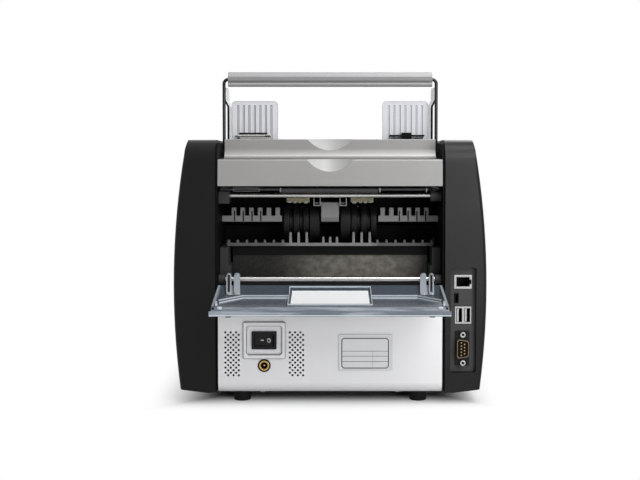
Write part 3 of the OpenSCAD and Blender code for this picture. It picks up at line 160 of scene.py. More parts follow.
class CounterColours(bpy.types.PropertyGroup):
    """Base colours of the finishes."""
    housing_black: colour("Housing", "Grained black of the side housings", (0.003, 0.003, 0.0032))
    # Paler copy of the housing black: painted light on the floor of the port recess, which lies in shade
    recess: colour("Port recess", "Paler floor of the port recess", (0.040, 0.040, 0.041))
    silver: colour("Silver", "Satin paint of the rear panel", (0.58, 0.58, 0.595))
    # Darker copy of the silver paint: painted shade on the sloping sides of the switch bezel
    bezel_side: colour("Bezel sides", "Sloping sides of the switch bezel", (0.30, 0.30, 0.31))
    cover: colour("Covers", "Satin paint of the upper cover and hopper plate", (0.205, 0.203, 0.198))
    # A paler copy of the cover paint: painted light on the finger scoops, which face up towards the lamps
    scoop: colour("Scoops", "Finger scoops, rubbed bright", (0.33, 0.33, 0.322))
    frame_black: colour("Frame", "Coated sheet steel of the frame", (0.004, 0.004, 0.0045))
    steel: colour("Steel", "Ground rods and screws", (0.48, 0.475, 0.465))
    bail: colour("Bail wire", "Dark plating of the bail wire", (0.006, 0.006, 0.0065))
    nickel: colour("Nickel", "Socket shells", (0.36, 0.36, 0.36))
    shaft: colour("Shaft", "Blackened drive shaft", (0.008, 0.008, 0.0085))
    zinc: colour("Zinc", "Small brackets and clips", (0.22, 0.22, 0.22))
    bronze: colour("Bronze", "Shell of the serial port", (0.20, 0.15, 0.10))
    clear_blue: colour("Door", "Clear blue-grey plastic of the rear door", (0.062, 0.076, 0.095))
    door_lip: colour("Door lip", "Thicker lip of the rear door", (0.21, 0.235, 0.26))
    # Paler copy of the door plastic: the raised lines, latches and lip edge are real shapes, and their paler
    # colour is a painted highlight
    door_edge: colour("Door trim", "Bright raised lines and latches of the rear door", (0.40, 0.44, 0.48))
    # Paler copy of the door plastic: painted light on the door's side rims, hinge ears and rounded edges
    door_ear: colour("Door ears", "Hinge ears and edges of the rear door", (0.25, 0.272, 0.30))
    clear_pale: colour("Guides", "Pale clear plastic of the hopper guides", (0.60, 0.61, 0.64))
    guide_edge: colour("Guide edges", "Darker edges of the hopper guides", (0.17, 0.175, 0.19))
    guide_side: colour("Guide side plates", "Side plates seen edge on", (0.006, 0.006, 0.010))
    light_grey: colour("Light grey", "Upper comb, flap and impellers", (0.14, 0.14, 0.138))
    # Colour of the lower comb; its finish paints shade over it towards the pocket's sides
    comb: colour("Lower comb", "Lower comb where it is clean", (0.14, 0.14, 0.138))
    dark_grey: colour("Dark grey", "Pocket roof and hopper tray", (0.040, 0.040, 0.041))
    # Base colour of the sensor plate, whose finish adds a painted pool of light to its mottle and makes the
    # plate near black at its foot
    worn_plate: colour("Worn plate", "Rubbed plate below the sensor bar", (0.046, 0.043, 0.037))
    black_plastic: colour("Black plastic", "Inner mouldings and the front", (0.0045, 0.0045, 0.0048))
    blocks: colour("Blocks", "Rod blocks of the pocket", (0.022, 0.022, 0.023))
    black_gloss: colour("Black gloss", "Power switch", (0.004, 0.004, 0.0045))
    rubber: colour("Rubber", "Belts, feet, pickup rollers and pads", (0.006, 0.006, 0.006))
    tyre: colour("Tyres", "Polished rubber of the wheels and rollers", (0.006, 0.006, 0.006))
    grip_grey: colour("Grip", "Carry grip", (0.185, 0.185, 0.188))
    board: colour("Board", "Circuit boards", (0.115, 0.100, 0.038))
    brass: colour("Brass", "Power sleeve, bushes and contacts", (0.46, 0.30, 0.115))
    plate: colour("Plate", "Bare rating plate", (0.50, 0.51, 0.52))
    lens: colour("Lens", "Display window", (0.010, 0.012, 0.014))
    key: colour("Keys", "Key caps", (0.28, 0.29, 0.31))
    label: colour("Label", "Blank door label, rocker marks and tongues", (0.64, 0.65, 0.66))
    plate_label: colour("Rating label", "Bare label on the rating plate", (0.64, 0.645, 0.65))
    ink: colour("Ink", "Ruled lines of the bare rating label", (0.012, 0.012, 0.014))
    part: colour("Board parts", "Small parts on the sensor boards", (0.16, 0.16, 0.15))


class CounterSizes(bpy.types.PropertyGroup):
    """Sizes of the finish and of the view."""
    housing_edge: length("Housing edge", "Rounding of the housings' edges", 0.8)
    panel_edge: length("Panel edge", "Rounding of the silver panels' edges", 0.3)
    bezel_edge: length("Bezel edge", "Rounding of the raised switch bezel", 1.4)
    moulding_edge: length("Moulding edge", "Rounding of small mouldings", 0.35)
    ear_edge: length("Ear edge", "Rounding of the door's hinge ears", 2.1)
    label_width: length("Label width", "Width of the blank label on the door", 66)
    camera_back: length("Camera distance", "From the rear face to the camera", 1000)
    camera_height: length("Camera height", "Above the floor", 235)


class Reading:
    """A number on a shader socket. Python's operators add the Math nodes that work it out."""

    def __init__(self, finish, socket):
        self.finish = finish
        self.socket = socket

    def _maths(self, operation, first, second=0.0):
        return self.finish.add("ShaderNodeMath", {"operation": operation}, {0: first, 1: second})

    def __add__(self, other):
        return self._maths("ADD", self, other)

    def __sub__(self, other):
        return self._maths("SUBTRACT", self, other)

    def __rsub__(self, other):
        return self._maths("SUBTRACT", other, self)

    def __mul__(self, other):
        return self._maths("MULTIPLY", self, other)

    def __gt__(self, other):
        return self._maths("GREATER_THAN", self, other)

    def __lt__(self, other):
        return self._maths("LESS_THAN", self, other)

    __radd__ = __add__
    __rmul__ = __mul__


class Finish:
    """The nodes of a new material or world, and the one way to add to them."""

    def __init__(self, name, kind="materials"):
        self.owner = getattr(bpy.data, kind).new(name)
        self.owner.use_nodes = True
        self.tree = self.owner.node_tree
        self.tree.nodes.clear()

    def add(self, kind, settings=None, sockets=None, out=0):
        """A node of a kind, with its settings set first, then its sockets; returns one output."""
        node = self.tree.nodes.new(kind)
        for key, value in (settings or {}).items():
            setattr(node, key, value)
        for key, value in (sockets or {}).items():
            if isinstance(value, Reading):
                self.tree.links.new(value.socket, node.inputs[key])
            else:
                node.inputs[key].default_value = value
        return Reading(self, node.outputs[out]) if node.outputs else None

    def place(self, scale=(1, 1, 1)):
        """Object coordinates, stretched by a scale."""
        where = self.add("ShaderNodeTexCoord", out="Object")
        return self.add("ShaderNodeMapping", None, {"Vector": where, "Scale": scale})

    def axis(self, letter):
        """One of the object coordinates, in metres."""
        where = self.add("ShaderNodeTexCoord", out="Object")
        return self.add("ShaderNodeSeparateXYZ", None, {0: where}, out=letter)

    def away(self, letter, middle):
        """Distance from a place on one axis."""
        return self.add("ShaderNodeMath", {"operation": "ABSOLUTE"}, {0: self.axis(letter) - middle})

    def noise(self, scale, detail=3.0, stretch=(1, 1, 1)):
        """Noise from 0 to 1 with so many cells to the metre."""
        return self.add("ShaderNodeTexNoise", None,
                        {"Vector": self.place(stretch), "Scale": scale, "Detail": detail})

    def fade(self, value, start, end, low=0.0, high=1.0, curve="SMOOTHSTEP"):
        """Goes from low to high while a value goes from start to end."""
        return self.add("ShaderNodeMapRange", {"interpolation_type": curve}, {
            "Value": value, "From Min": start, "From Max": end, "To Min": low, "To Max": high})

    def mix(self, factor, first, second):
        """One colour turning into another."""
        shades = {6: first, 7: second}
        for key, shade in shades.items():
            if not isinstance(shade, Reading):
                shades[key] = (*shade, 1.0)
        return self.add("ShaderNodeMix", {"data_type": "RGBA"}, {0: factor, **shades}, out=2)

    def bump(self, height, strength, distance):
        """A normal from a height."""
        return self.add("ShaderNodeBump", None,
                        {"Height": height, "Strength": strength, "Distance": distance})

    def shade(self, **inputs):
        """The surface shader, ending in the material output; returns the material."""
        named = {key.replace("_", " "): value for key, value in inputs.items()}
        surface = self.add("ShaderNodeBsdfPrincipled", None, named)
        self.add("ShaderNodeOutputMaterial", None, {"Surface": surface})
        return self.owner


def tint(base, amount):
    """A colour made lighter or darker."""
    return tuple(min(1.0, part * amount) for part in base)


def moulded(name, base, rough=0.45, grain=1500, depth=0.25, spread=0.12, gloss=0.5):
    """Moulded plastic with a fine tool grain and slight unevenness."""
    f = Finish(name)
    fine = f.noise(grain, 2.0)
    broad = f.noise(22)
    return f.shade(
        Base_Color=f.mix(broad, tint(base, 1 - spread), tint(base, 1 + spread)),
        Roughness=rough + (broad - 0.5) * 0.12 + (fine - 0.5) * 0.12,
        Specular_IOR_Level=gloss,
        Normal=f.bump(fine, depth, GRAIN_RELIEF))


def satin_paint(name, base):
    """Silver paint with fine flakes and a soft sheen."""
    f = Finish(name)
    flake = f.add("ShaderNodeTexVoronoi", None, {"Vector": f.place(), "Scale": 2600.0}, out="Distance")
    broad = f.noise(14)
    return f.shade(
        Base_Color=f.mix(flake * 0.7 + broad * 0.3, tint(base, 0.93), tint(base, 1.05)),
        Roughness=0.40 + (broad - 0.5) * 0.08 + (flake - 0.4) * 0.08,
        Metallic=0.30 + flake * 0.15,
        Normal=f.bump(flake, 0.06, GRAIN_RELIEF))


def ground_metal(name, base, rough=0.26, lines_along=ALONG_X):
    """Metal with fine grinding lines along one axis."""
    f = Finish(name)
    lines = f.noise(2400, 4.0, lines_along)
    broad = f.noise(30, 2.0)
    return f.shade(
        Base_Color=f.mix(lines * 0.6 + broad * 0.4, tint(base, 0.80), tint(base, 1.10)),
        Roughness=rough + (lines - 0.5) * 0.18,
        Metallic=1.0,
        Normal=f.bump(lines, 0.08, FINE_RELIEF))


def clear_plastic(name, base, alpha, rough):
    """Tinted clear sheet with faint flow marks."""
    f = Finish(name)
    flow = f.noise(26, stretch=(0.3, 1, 1))
    fine = f.noise(900, 2.0)
    return f.shade(
        Base_Color=f.mix(flow, tint(base, 0.92), tint(base, 1.08)),
        Roughness=rough + (flow - 0.5) * 0.06,
        Alpha=alpha + (flow - 0.5) * 0.06,
        IOR=CLEAR_IOR,
        Normal=f.bump(flow * 0.8 + fine * 0.2, 0.05, FLOW_RELIEF))


def door_plastic(name, base):
    """Clear door sheet that grows milky and streaked towards its lip."""
    f = Finish(name)
    lip = bpy.context.scene.counter_colours.door_lip
    flow = f.noise(30, stretch=(0.25, 1, 1))
    streak = f.fade(f.noise(190, 4.0, (0.12, 1, 1)), 0.42, 0.62, low=0.15, curve="LINEAR")
    fine = f.noise(900, 2.0)
    milky = f.fade(f.axis("Y"), LIP_START - 3 * MM, LIP_START + 2 * MM)
    return f.shade(
        Base_Color=f.mix(milky * streak, f.mix(flow, tint(base, 0.85), tint(base, 1.15)), lip),
        Roughness=0.16 + (flow - 0.5) * 0.08,
        Alpha=0.62 + (flow - 0.5) * 0.08 + milky * 0.3,
        IOR=CLEAR_IOR,
        Specular_IOR_Level=0.35,
        Normal=f.bump(flow * 0.6 + streak * milky + fine * 0.03, 0.06, FLOW_RELIEF))


def mottled_plate_painted_light(name, base):
    """Dark mottled plate with a painted pool of light, brightest a little towards the operator's left and
    darker towards the sides, and near black below a set height.
    """
    f = Finish(name)
    light_pool_middle, light_pool_inner, light_pool_outer = -28 * MM, 20 * MM, 85 * MM
    dark_below, dark_fade_top = UNDERSIDE + 97 * MM, UNDERSIDE + 99 * MM
    cloud = f.fade(f.noise(150, 8.0, (1, 1, 1.3)), 0.36, 0.66, low=0.1, curve="LINEAR")
    speck = f.noise(900)
    # painted light: a pool of light, brightest near its middle and shading off towards the sides
    bright = f.fade(f.away("X", light_pool_middle), light_pool_outer, light_pool_inner, low=0.02)
    # near black below a set height
    clear = f.fade(f.axis("Z"), dark_below, dark_fade_top, curve="LINEAR")
    mottle_and_painted_light = clear * (bright * (cloud * 0.5 + 0.45) + (speck - 0.5) * 0.3)
    return f.shade(
        Base_Color=f.mix(mottle_and_painted_light, tint(base, 0.05), tint(base, 2.7)),
        Roughness=0.42 + (cloud - 0.5) * 0.3,
        Specular_IOR_Level=0.2,
        Normal=f.bump(speck, 0.12, GRAIN_RELIEF))


def comb_grey_painted_shade(name, base):
    """Grey moulding with painted shade, darker towards the sides of the pocket, and random blotches."""
    f = Finish(name)
    black = (0.0, 0.0, 0.0)
    fine = f.noise(1500, 2.0)
    blotches = f.noise(160, 4.0, (1, 1, 0.3))
    # painted shade: the colour darkens towards the pocket's sides
    side = f.fade(f.away("X", 0.0), 36 * MM, 46 * MM, low=1.0, high=0.42)
    return f.shade(
        Base_Color=f.mix(side * (blotches * 0.5 + 0.75), black, base),
        Roughness=0.42 + (fine - 0.5) * 0.12 + (blotches - 0.5) * 0.1,
        Specular_IOR_Level=0.3,
        Normal=f.bump(fine, 0.2, GRAIN_RELIEF))


def grip_painted_light_bands(name, base):
    """Grip moulding with painted light: a paler top and lower lip as painted highlights, and a dark line
    between lip and face as painted shade.
    """
    f = Finish(name)
    lip_foot, lip_top, line_top = 0.06, 0.27, 0.43
    face_top, crown_foot = 0.60, 0.78
    fine = f.noise(1500, 2.0)
    low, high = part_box("bail_grip")
    height = (f.axis("Z") - low.z) * (1 / (high.z - low.z))
    # painted light: highlights along the top and the lower lip, and painted shade in the line between lip and
    # face
    painted_top_highlight = f.fade(height, face_top, crown_foot)
    lip = (height > lip_foot) * (height < lip_top)
    line = (height > lip_top) * (height < line_top)
    return f.shade(
        Base_Color=f.mix(line, f.mix(painted_top_highlight + lip, tint(base, 0.85), tint(base, 1.28)), tint(base, 0.52)),
        Roughness=0.34 + (fine - 0.5) * 0.12,
        Normal=f.bump(fine, 0.15, GRAIN_RELIEF))


def circuit_board(name, base):
    """Solder mask over copper tracks."""
    f = Finish(name)
    tracks = f.add("ShaderNodeTexBrick", {"offset": 0.4, "squash": 1.6}, {
        "Vector": f.place(), "Scale": 160.0, "Mortar Size": 0.06, "Bias": 0.1}, out="Fac")
    mottle = f.noise(420, 2.0)
    return f.shade(
        Base_Color=f.mix(tracks * 0.6 + (mottle > 0.62) * 0.4, base, tint(base, 1.7)),
        Roughness=0.38 + mottle * 0.2,
        Coat_Weight=0.3,
        Normal=f.bump(tracks, 0.2, FINE_RELIEF))


# Each way to make a finish, the finishes that it makes, and where each leaves its usual values
MAKERS = {
    moulded: {
        "housing_black": dict(rough=0.38, grain=1400, depth=0.30, gloss=0.16),
        "recess": dict(grain=1400, depth=0.30, gloss=0.12),
        "frame_black": dict(rough=0.5, grain=700, depth=0.35, gloss=0.02),
        "bail": dict(rough=0.24, grain=1600, depth=0.05, gloss=0.25),
        "guide_side": dict(rough=0.35, depth=0.1, gloss=0.04),
        "blocks": dict(spread=0.15, gloss=0.15),
        "light_grey": dict(rough=0.42, depth=0.2, spread=0.06),
        "dark_grey": dict(rough=0.5, grain=1300, spread=0.18),
        "black_plastic": dict(rough=0.42, gloss=0.04),
        "black_gloss": dict(rough=0.28, grain=1200, depth=0.05, gloss=0.2),
        "rubber": dict(rough=0.62, grain=900, depth=0.4, spread=0.2, gloss=0.12),
        "tyre": dict(rough=0.34, grain=700, depth=0.12, spread=0.15, gloss=0.15),
        "lens": dict(rough=0.08, grain=1000, depth=0.02),
        "key": dict(rough=0.48, spread=0.06),
        "label": dict(rough=0.5, grain=1800, depth=0.1, spread=0.03),
        "plate_label": dict(rough=0.4, grain=1800, depth=0.1, spread=0.03),
        "ink": dict(rough=0.6, grain=1800, depth=0.05, spread=0.1),
        "part": dict(rough=0.4, grain=1200, depth=0.1, spread=0.2),
    },
    satin_paint: {"silver": {}, "cover": {}, "bezel_side": {}, "scoop": {}},
    ground_metal: {
        "steel": {},
        "shaft": dict(rough=0.40),
        "nickel": dict(rough=0.36, lines_along=ALONG_Y),
        "zinc": dict(rough=0.40, lines_along=ALONG_Z),
        "bronze": dict(rough=0.34, lines_along=ALONG_Y),
        "brass": dict(rough=0.24, lines_along=ALONG_Y),
        "plate": dict(rough=0.42, lines_along=LONG_ALONG_X),
    },
    clear_plastic: {
        "door_edge": dict(alpha=0.92, rough=0.2),
        "door_ear": dict(alpha=0.92, rough=0.2),
        "clear_pale": dict(alpha=0.86, rough=0.22),
        "guide_edge": dict(alpha=0.95, rough=0.22),
    },
    door_plastic: {"clear_blue": {}},
    comb_grey_painted_shade: {"comb": {}},
    mottled_plate_painted_light: {"worn_plate": {}},
    grip_painted_light_bands: {"grip_grey": {}},
    circuit_board: {"board": {}},
}
FINISHES = {}


def finish_of(name):
    """The finish of a slot or a surface, made from its colour when it is first asked for."""
    if name not in FINISHES:
        maker, settings = next((maker, made[name]) for maker, made in MAKERS.items() if name in made)
        base = getattr(bpy.context.scene.counter_colours, name)
        FINISHES[name] = maker(name.replace("_", " ").capitalize(), base, **settings)
    return FINISHES[name]


def keep(*nodes, finish=None):
    """CAD nodes whose shape stays get a finish, by default their slot's own."""
    for node in nodes:
        mesh = frame["nodes"][node].data
        mesh.materials.clear()
        mesh.materials.append(finish_of(finish or SLOT_OF[node]))


def settle(name, bm, body, finishes, replaced=()):
    """Closes a bmesh into a piece that rides on a body and wears finishes."""
    mesh = bpy.data.meshes.new(name)
    bm.to_mesh(mesh)
    bm.free()
    mesh.shade_smooth()
    mesh.set_sharp_from_angle(angle=SMOOTH_ANGLE)
    for finish in finishes:
        mesh.materials.append(finish_of(finish))
    piece = bpy.data.objects.new(name, mesh)
    bpy.context.scene.collection.objects.link(piece)
    even = piece.modifiers.new("Even shading", "WEIGHTED_NORMAL")
    even.keep_sharp = True
    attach(piece, body)
    if replaced:
        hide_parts(*replaced)
    return piece


@contextmanager
def new_piece(name, body, slot, finish=None):
    """A bmesh to model in, which becomes a piece at the end."""
    bm = bmesh.new()
    yield bm
    settle(name, bm, body, [finish or slot])


def soften(node, width, finish=None, second=None, edges=True, whole=None, wide=None):
    """A copy of a CAD node with its sharp edges rounded, in its place.

    finish is the copy's finish, by default its slot's own. second is one for the rounded edges,
    unless edges is off, and for the faces that pass the test whole. wide is a test of edges, and
    the greater width by which those that pass are rounded first.
    """
    bm = bmesh.new()
    bm.from_mesh(frame["nodes"][node].data)
    bmesh.ops.remove_doubles(bm, verts=bm.verts, dist=SAME_POINT)
    bmesh.ops.dissolve_limit(bm, angle_limit=FLAT_ANGLE, verts=bm.verts, edges=bm.edges)
    rounds = [(lambda edge: True, width, ROUND_STEPS, True)]
    if wide:
        rounds.insert(0, (*wide, WIDE_STEPS, False))
    made = []
    for test, offset, steps, clamp in rounds:
        sharp = [edge for edge in bm.edges
                 if edge.is_manifold and edge.calc_face_angle() > SHARP_ANGLE and test(edge)]
        made += bmesh.ops.bevel(bm, geom=sharp, offset=offset, offset_type="OFFSET", segments=steps,
                                profile=0.5, affect="EDGES", clamp_overlap=clamp, material=-1)["faces"]
    finishes = [finish or SLOT_OF[node]]
    if second:
        finishes.append(second)
        bm.normal_update()
        for face in bm.faces:
            face.material_index = int(bool(whole and whole(face)))
        for face in made:
            if edges and face.is_valid:
                face.material_index = 1
    return settle(node + "_finish", bm, BODY_OF[node], finishes, (node,))


def corners(x, depth, z):
    """The lowest and highest corners of mm ranges across, in depth and in height."""
    return spot(min(x), max(depth), min(z)), spot(max(x), min(depth), max(z))


def cube(bm, low, high):
    """The vertices of a new box between two corners."""
    made = bmesh.ops.create_cube(bm, size=1.0)["verts"]
    bmesh.ops.scale(bm, vec=high - low, verts=made)
    bmesh.ops.translate(bm, vec=(low + high) / 2, verts=made)
    return made


def round_edges(bm, verts, edge):
    """Rounds all edges of a new box."""
    edges = list({e for vert in verts for e in vert.link_edges})
    bmesh.ops.bevel(bm, geom=edges, offset=edge * MM, segments=ROUND_STEPS, profile=0.5,
                    affect="EDGES", clamp_overlap=True, material=-1)


def block(bm, x, depth, z, edge):
    """A box from mm ranges across, in depth and in height, with rounded edges."""
    round_edges(bm, cube(bm, *corners(x, depth, z)), edge)


def stud(bm, at, half, edge):
    """A box about a place, from its half sizes in mm, with rounded edges."""
    reach = Vector(half) * MM
    round_edges(bm, cube(bm, at - reach, at + reach), edge)


def bar(bm, start, end, width, height, edge=0.0):
    """A straight bar of a width and height, in mm, between two places."""
    run = end - start
    made = bmesh.ops.create_cube(bm, size=1.0)["verts"]
    bmesh.ops.scale(bm, vec=(run.length, width * MM, height * MM), verts=made)
    turn = run.to_track_quat("X", "Z").to_matrix().to_4x4()
    bmesh.ops.transform(bm, matrix=Matrix.Translation((start + end) / 2) @ turn, verts=made)
    if edge:
        round_edges(bm, made, edge)


def trail(bm, places, width, height, edge=0.0, closed=False):
    """Bars from each place to the next."""
    ends = places[1:] + places[:1] if closed else places[1:]
    for start, end in zip(places, ends):
        bar(bm, start, end, width, height, edge)


def liner(bm, x, depth, z, wall):
    """A thin-walled box that is open to the rear."""
    made = cube(bm, *corners(x, depth, z))
    faces = list({face for vert in made for face in vert.link_faces})
    mouth = max(faces, key=lambda face: face.calc_center_median().y)
    faces.remove(mouth)
    bmesh.ops.delete(bm, geom=[mouth], context="FACES_ONLY")
    bmesh.ops.solidify(bm, geom=faces, thickness=wall * MM)


def ring(bm, place, radius, width, height, turn):
    """A flat ring about a place, turned from facing up."""
    before = set(bm.verts)
    made = bmesh.ops.create_circle(bm, cap_ends=True, radius=radius * MM, segments=32)["verts"]
    face = made[0].link_faces[0]
    rim = bmesh.ops.inset_individual(bm, faces=[face], thickness=width * MM)["faces"]
    bmesh.ops.delete(bm, geom=[face], context="FACES_ONLY")
    bmesh.ops.solidify(bm, geom=rim, thickness=height * MM)
    verts = [vert for vert in bm.verts if vert not in before]
    bmesh.ops.transform(bm, matrix=Matrix.Translation(place) @ turn, verts=verts)


def pin(bm, across, height, depths, radius):
    """A round pin along the depth."""
    start, end = (spot(across, depth, height) for depth in depths)
    bmesh.ops.create_cone(bm, cap_ends=True, segments=12, radius1=radius * MM, radius2=radius * MM,
                          depth=(end - start).length,
                          matrix=Matrix.Translation((start + end) / 2) @ Matrix.Rotation(pi / 2, 4, "X"))


class CounterOperator(bpy.types.Operator):
    """What the steps share."""
    bl_options = {"REGISTER", "UNDO"}

    @staticmethod
    def sizes():
        """The sizes that a user may change."""
        return bpy.context.scene.counter_sizes


class COUNTER_OT_housings(CounterOperator):
    """Side housings with softened edges, and the port recess's floor painted paler as painted light"""
    bl_idname = "counter.housings"
    bl_label = "Housings"

    def execute(self, context):
        edge = self.sizes().housing_edge
        soften("right_housing", edge)
        # the port recess's floor gets the paler black as painted light
        soften("left_housing", edge, second="recess", edges=False, whole=self.recess_floor)
        return {"FINISHED"}

    @staticmethod
    def recess_floor(face):
        """Faces that look to the rear from the recess's depth."""
        rearward, shallow, deep = 0.97, 8 * MM, 10 * MM
        return face.normal.y > rearward and shallow < REAR - face.calc_center_median().y < deep


class COUNTER_OT_base(CounterOperator):
    """Side frames, base tray, feet and screws"""
    bl_idname = "counter.base"
    bl_label = "Base and frames"

    def execute(self, context):
        edge = self.sizes().moulding_edge
        keep("base_tray", "left_side_frame", "right_side_frame")
        soften("feet", edge)
        soften("fasteners", edge * 0.7)
        return {"FINISHED"}


class COUNTER_OT_rear_panel(CounterOperator):
    """Lower rear panel, rating plate, power switch and power jack"""
    bl_idname = "counter.rear_panel"
    bl_label = "Rear panel"

    def execute(self, context):
        sizes = self.sizes()
        # the bezel's sloping faces get the darker paint as painted shade
        soften("rear_panel", sizes.panel_edge, second="bezel_side", edges=False, whole=self.bezel_side,
               wide=(self.bezel_rim, sizes.bezel_edge))
        soften("rating_plate", sizes.panel_edge * 0.7)
        for node in ("switch_body", "switch_rocker", "power_jack"):
            soften(node, sizes.panel_edge)
        soften("jack_sleeve", sizes.panel_edge * 0.6)
        self.rocker_marks()
        self.rating_label()
        return {"FINISHED"}

    @staticmethod
    def bezel_rim(edge):
        """Edges of the bezel's raised face."""
        proud = 2 * MM
        return min(vert.co.y for vert in edge.verts) > REAR + proud

    @staticmethod
    def bezel_side(face):
        """Sloping faces that stand proud of the panel."""
        proud, rearward = 0.1 * MM, 0.9
        return face.calc_center_median().y > REAR + proud and face.normal.y < rearward

    @staticmethod
    def rocker_marks():
        """A line and a ring on the rocker's two halves, in its resting tilt."""
        rest_tilt, half_slope = radians(-8), radians(8.5)
        pivot_depth, valley, flank = 0.6, 1.0, 0.175
        line_across, ring_across = 1.6, -4.6
        line_low, line_high, line_edge = Vector((-1.3, -0.06, -0.35)), Vector((1.3, 0.07, 0.35)), 0.05
        ring_radius, ring_width, ring_height, ring_lift = 1.75, 0.55, 0.13, 0.08
        low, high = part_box("switch_rocker")
        pivot = (low + high) / 2
        pivot.y = REAR - pivot_depth * MM
        tilt = Matrix.Translation(pivot) @ Matrix.Rotation(rest_tilt, 4, "Z")
        with new_piece("rocker_marks", "rocker", "light_grey", "label") as bm:
            for across, slope in ((line_across, 1), (ring_across, -1)):
                before = set(bm.verts)
                if across == line_across:
                    round_edges(bm, cube(bm, line_low * MM, line_high * MM), line_edge)
                else:
                    ring(bm, Vector((0, ring_lift * MM, 0)), ring_radius, ring_width, ring_height,
                         Matrix.Rotation(-pi / 2, 4, "X"))
                place = Matrix.Translation(Vector((across, valley + abs(across) * flank, 0)) * MM)
                lean = Matrix.Rotation(slope * half_slope, 4, "Z")
                made = [vert for vert in bm.verts if vert not in before]
                bmesh.ops.transform(bm, matrix=tilt @ place @ lean, verts=made)
            bmesh.ops.recalc_face_normals(bm, faces=bm.faces)

    @staticmethod
    def rating_label():
        """A blank label with ruled lines in the rating plate's recess."""
        recess, label_thick, label_edge = 0.6, 0.12, 0.05
        ink_rise, ink_thick, border_width, rule_width = 0.17, 0.14, 0.85, 0.42
        inset, corner_cut = 0.7, 1.6
        near, far, below, above = 3.2, 2.2, 1.9, 2.9
        row_shares, column_share = (0.22, 0.40, 0.57), 0.34
        plate_x, plate_depth, plate_z = extent("rating_plate")
        floor = plate_depth[0] + recess
        x = (plate_x[0] + near, plate_x[1] - far)
        z = (plate_z[0] + below, plate_z[1] - above)
        with new_piece("rating_label", "machine", "plate", "plate_label") as bm:
            block(bm, x, (floor - label_thick, floor), z, label_edge)
        ink = floor - ink_rise
        left, right, bottom, top = x[1] - inset, x[0] + inset, z[0] + inset, z[1] - inset
        border = [(left, bottom + corner_cut), (left, top - corner_cut), (left - corner_cut, top),
                  (right + corner_cut, top), (right, top - corner_cut), (right, bottom + corner_cut),
                  (right + corner_cut, bottom), (left - corner_cut, bottom)]
        rows = [bottom + (top - bottom) * share for share in row_shares]
        column = right + (left - right) * column_share
        with new_piece("rating_rules", "machine", "plate", "ink") as bm:
            trail(bm, [spot(across, ink, height) for across, height in border],
                  ink_thick, border_width, closed=True)
            for height in rows:
                bar(bm, spot(left, ink, height), spot(right, ink, height), ink_thick, rule_width)
            bar(bm, spot(column, ink, bottom), spot(column, ink, rows[-1]), rule_width, ink_thick)


class COUNTER_OT_covers(CounterOperator):
    """Upper rear cover and hopper back plate"""
    bl_idname = "counter.covers"
    bl_label = "Silver covers"

    def execute(self, context):
        for node in ("upper_rear_cover", "hopper_back_plate"):
            # faces in the scoops wear the paler paint, as painted light
            soften(node, self.sizes().panel_edge, finish="cover", second="scoop", edges=False,
                   whole=self.in_scoop)
        return {"FINISHED"}

    @staticmethod
    def in_scoop(face):
        """Faces near the middle that slope back and up."""
        half_width, rearward_least, rearward_most, upward = 22 * MM, 0.35, 0.65, 0.5
        return (abs(face.calc_center_median().x) < half_width and face.normal.z > upward
                and rearward_least < face.normal.y < rearward_most)


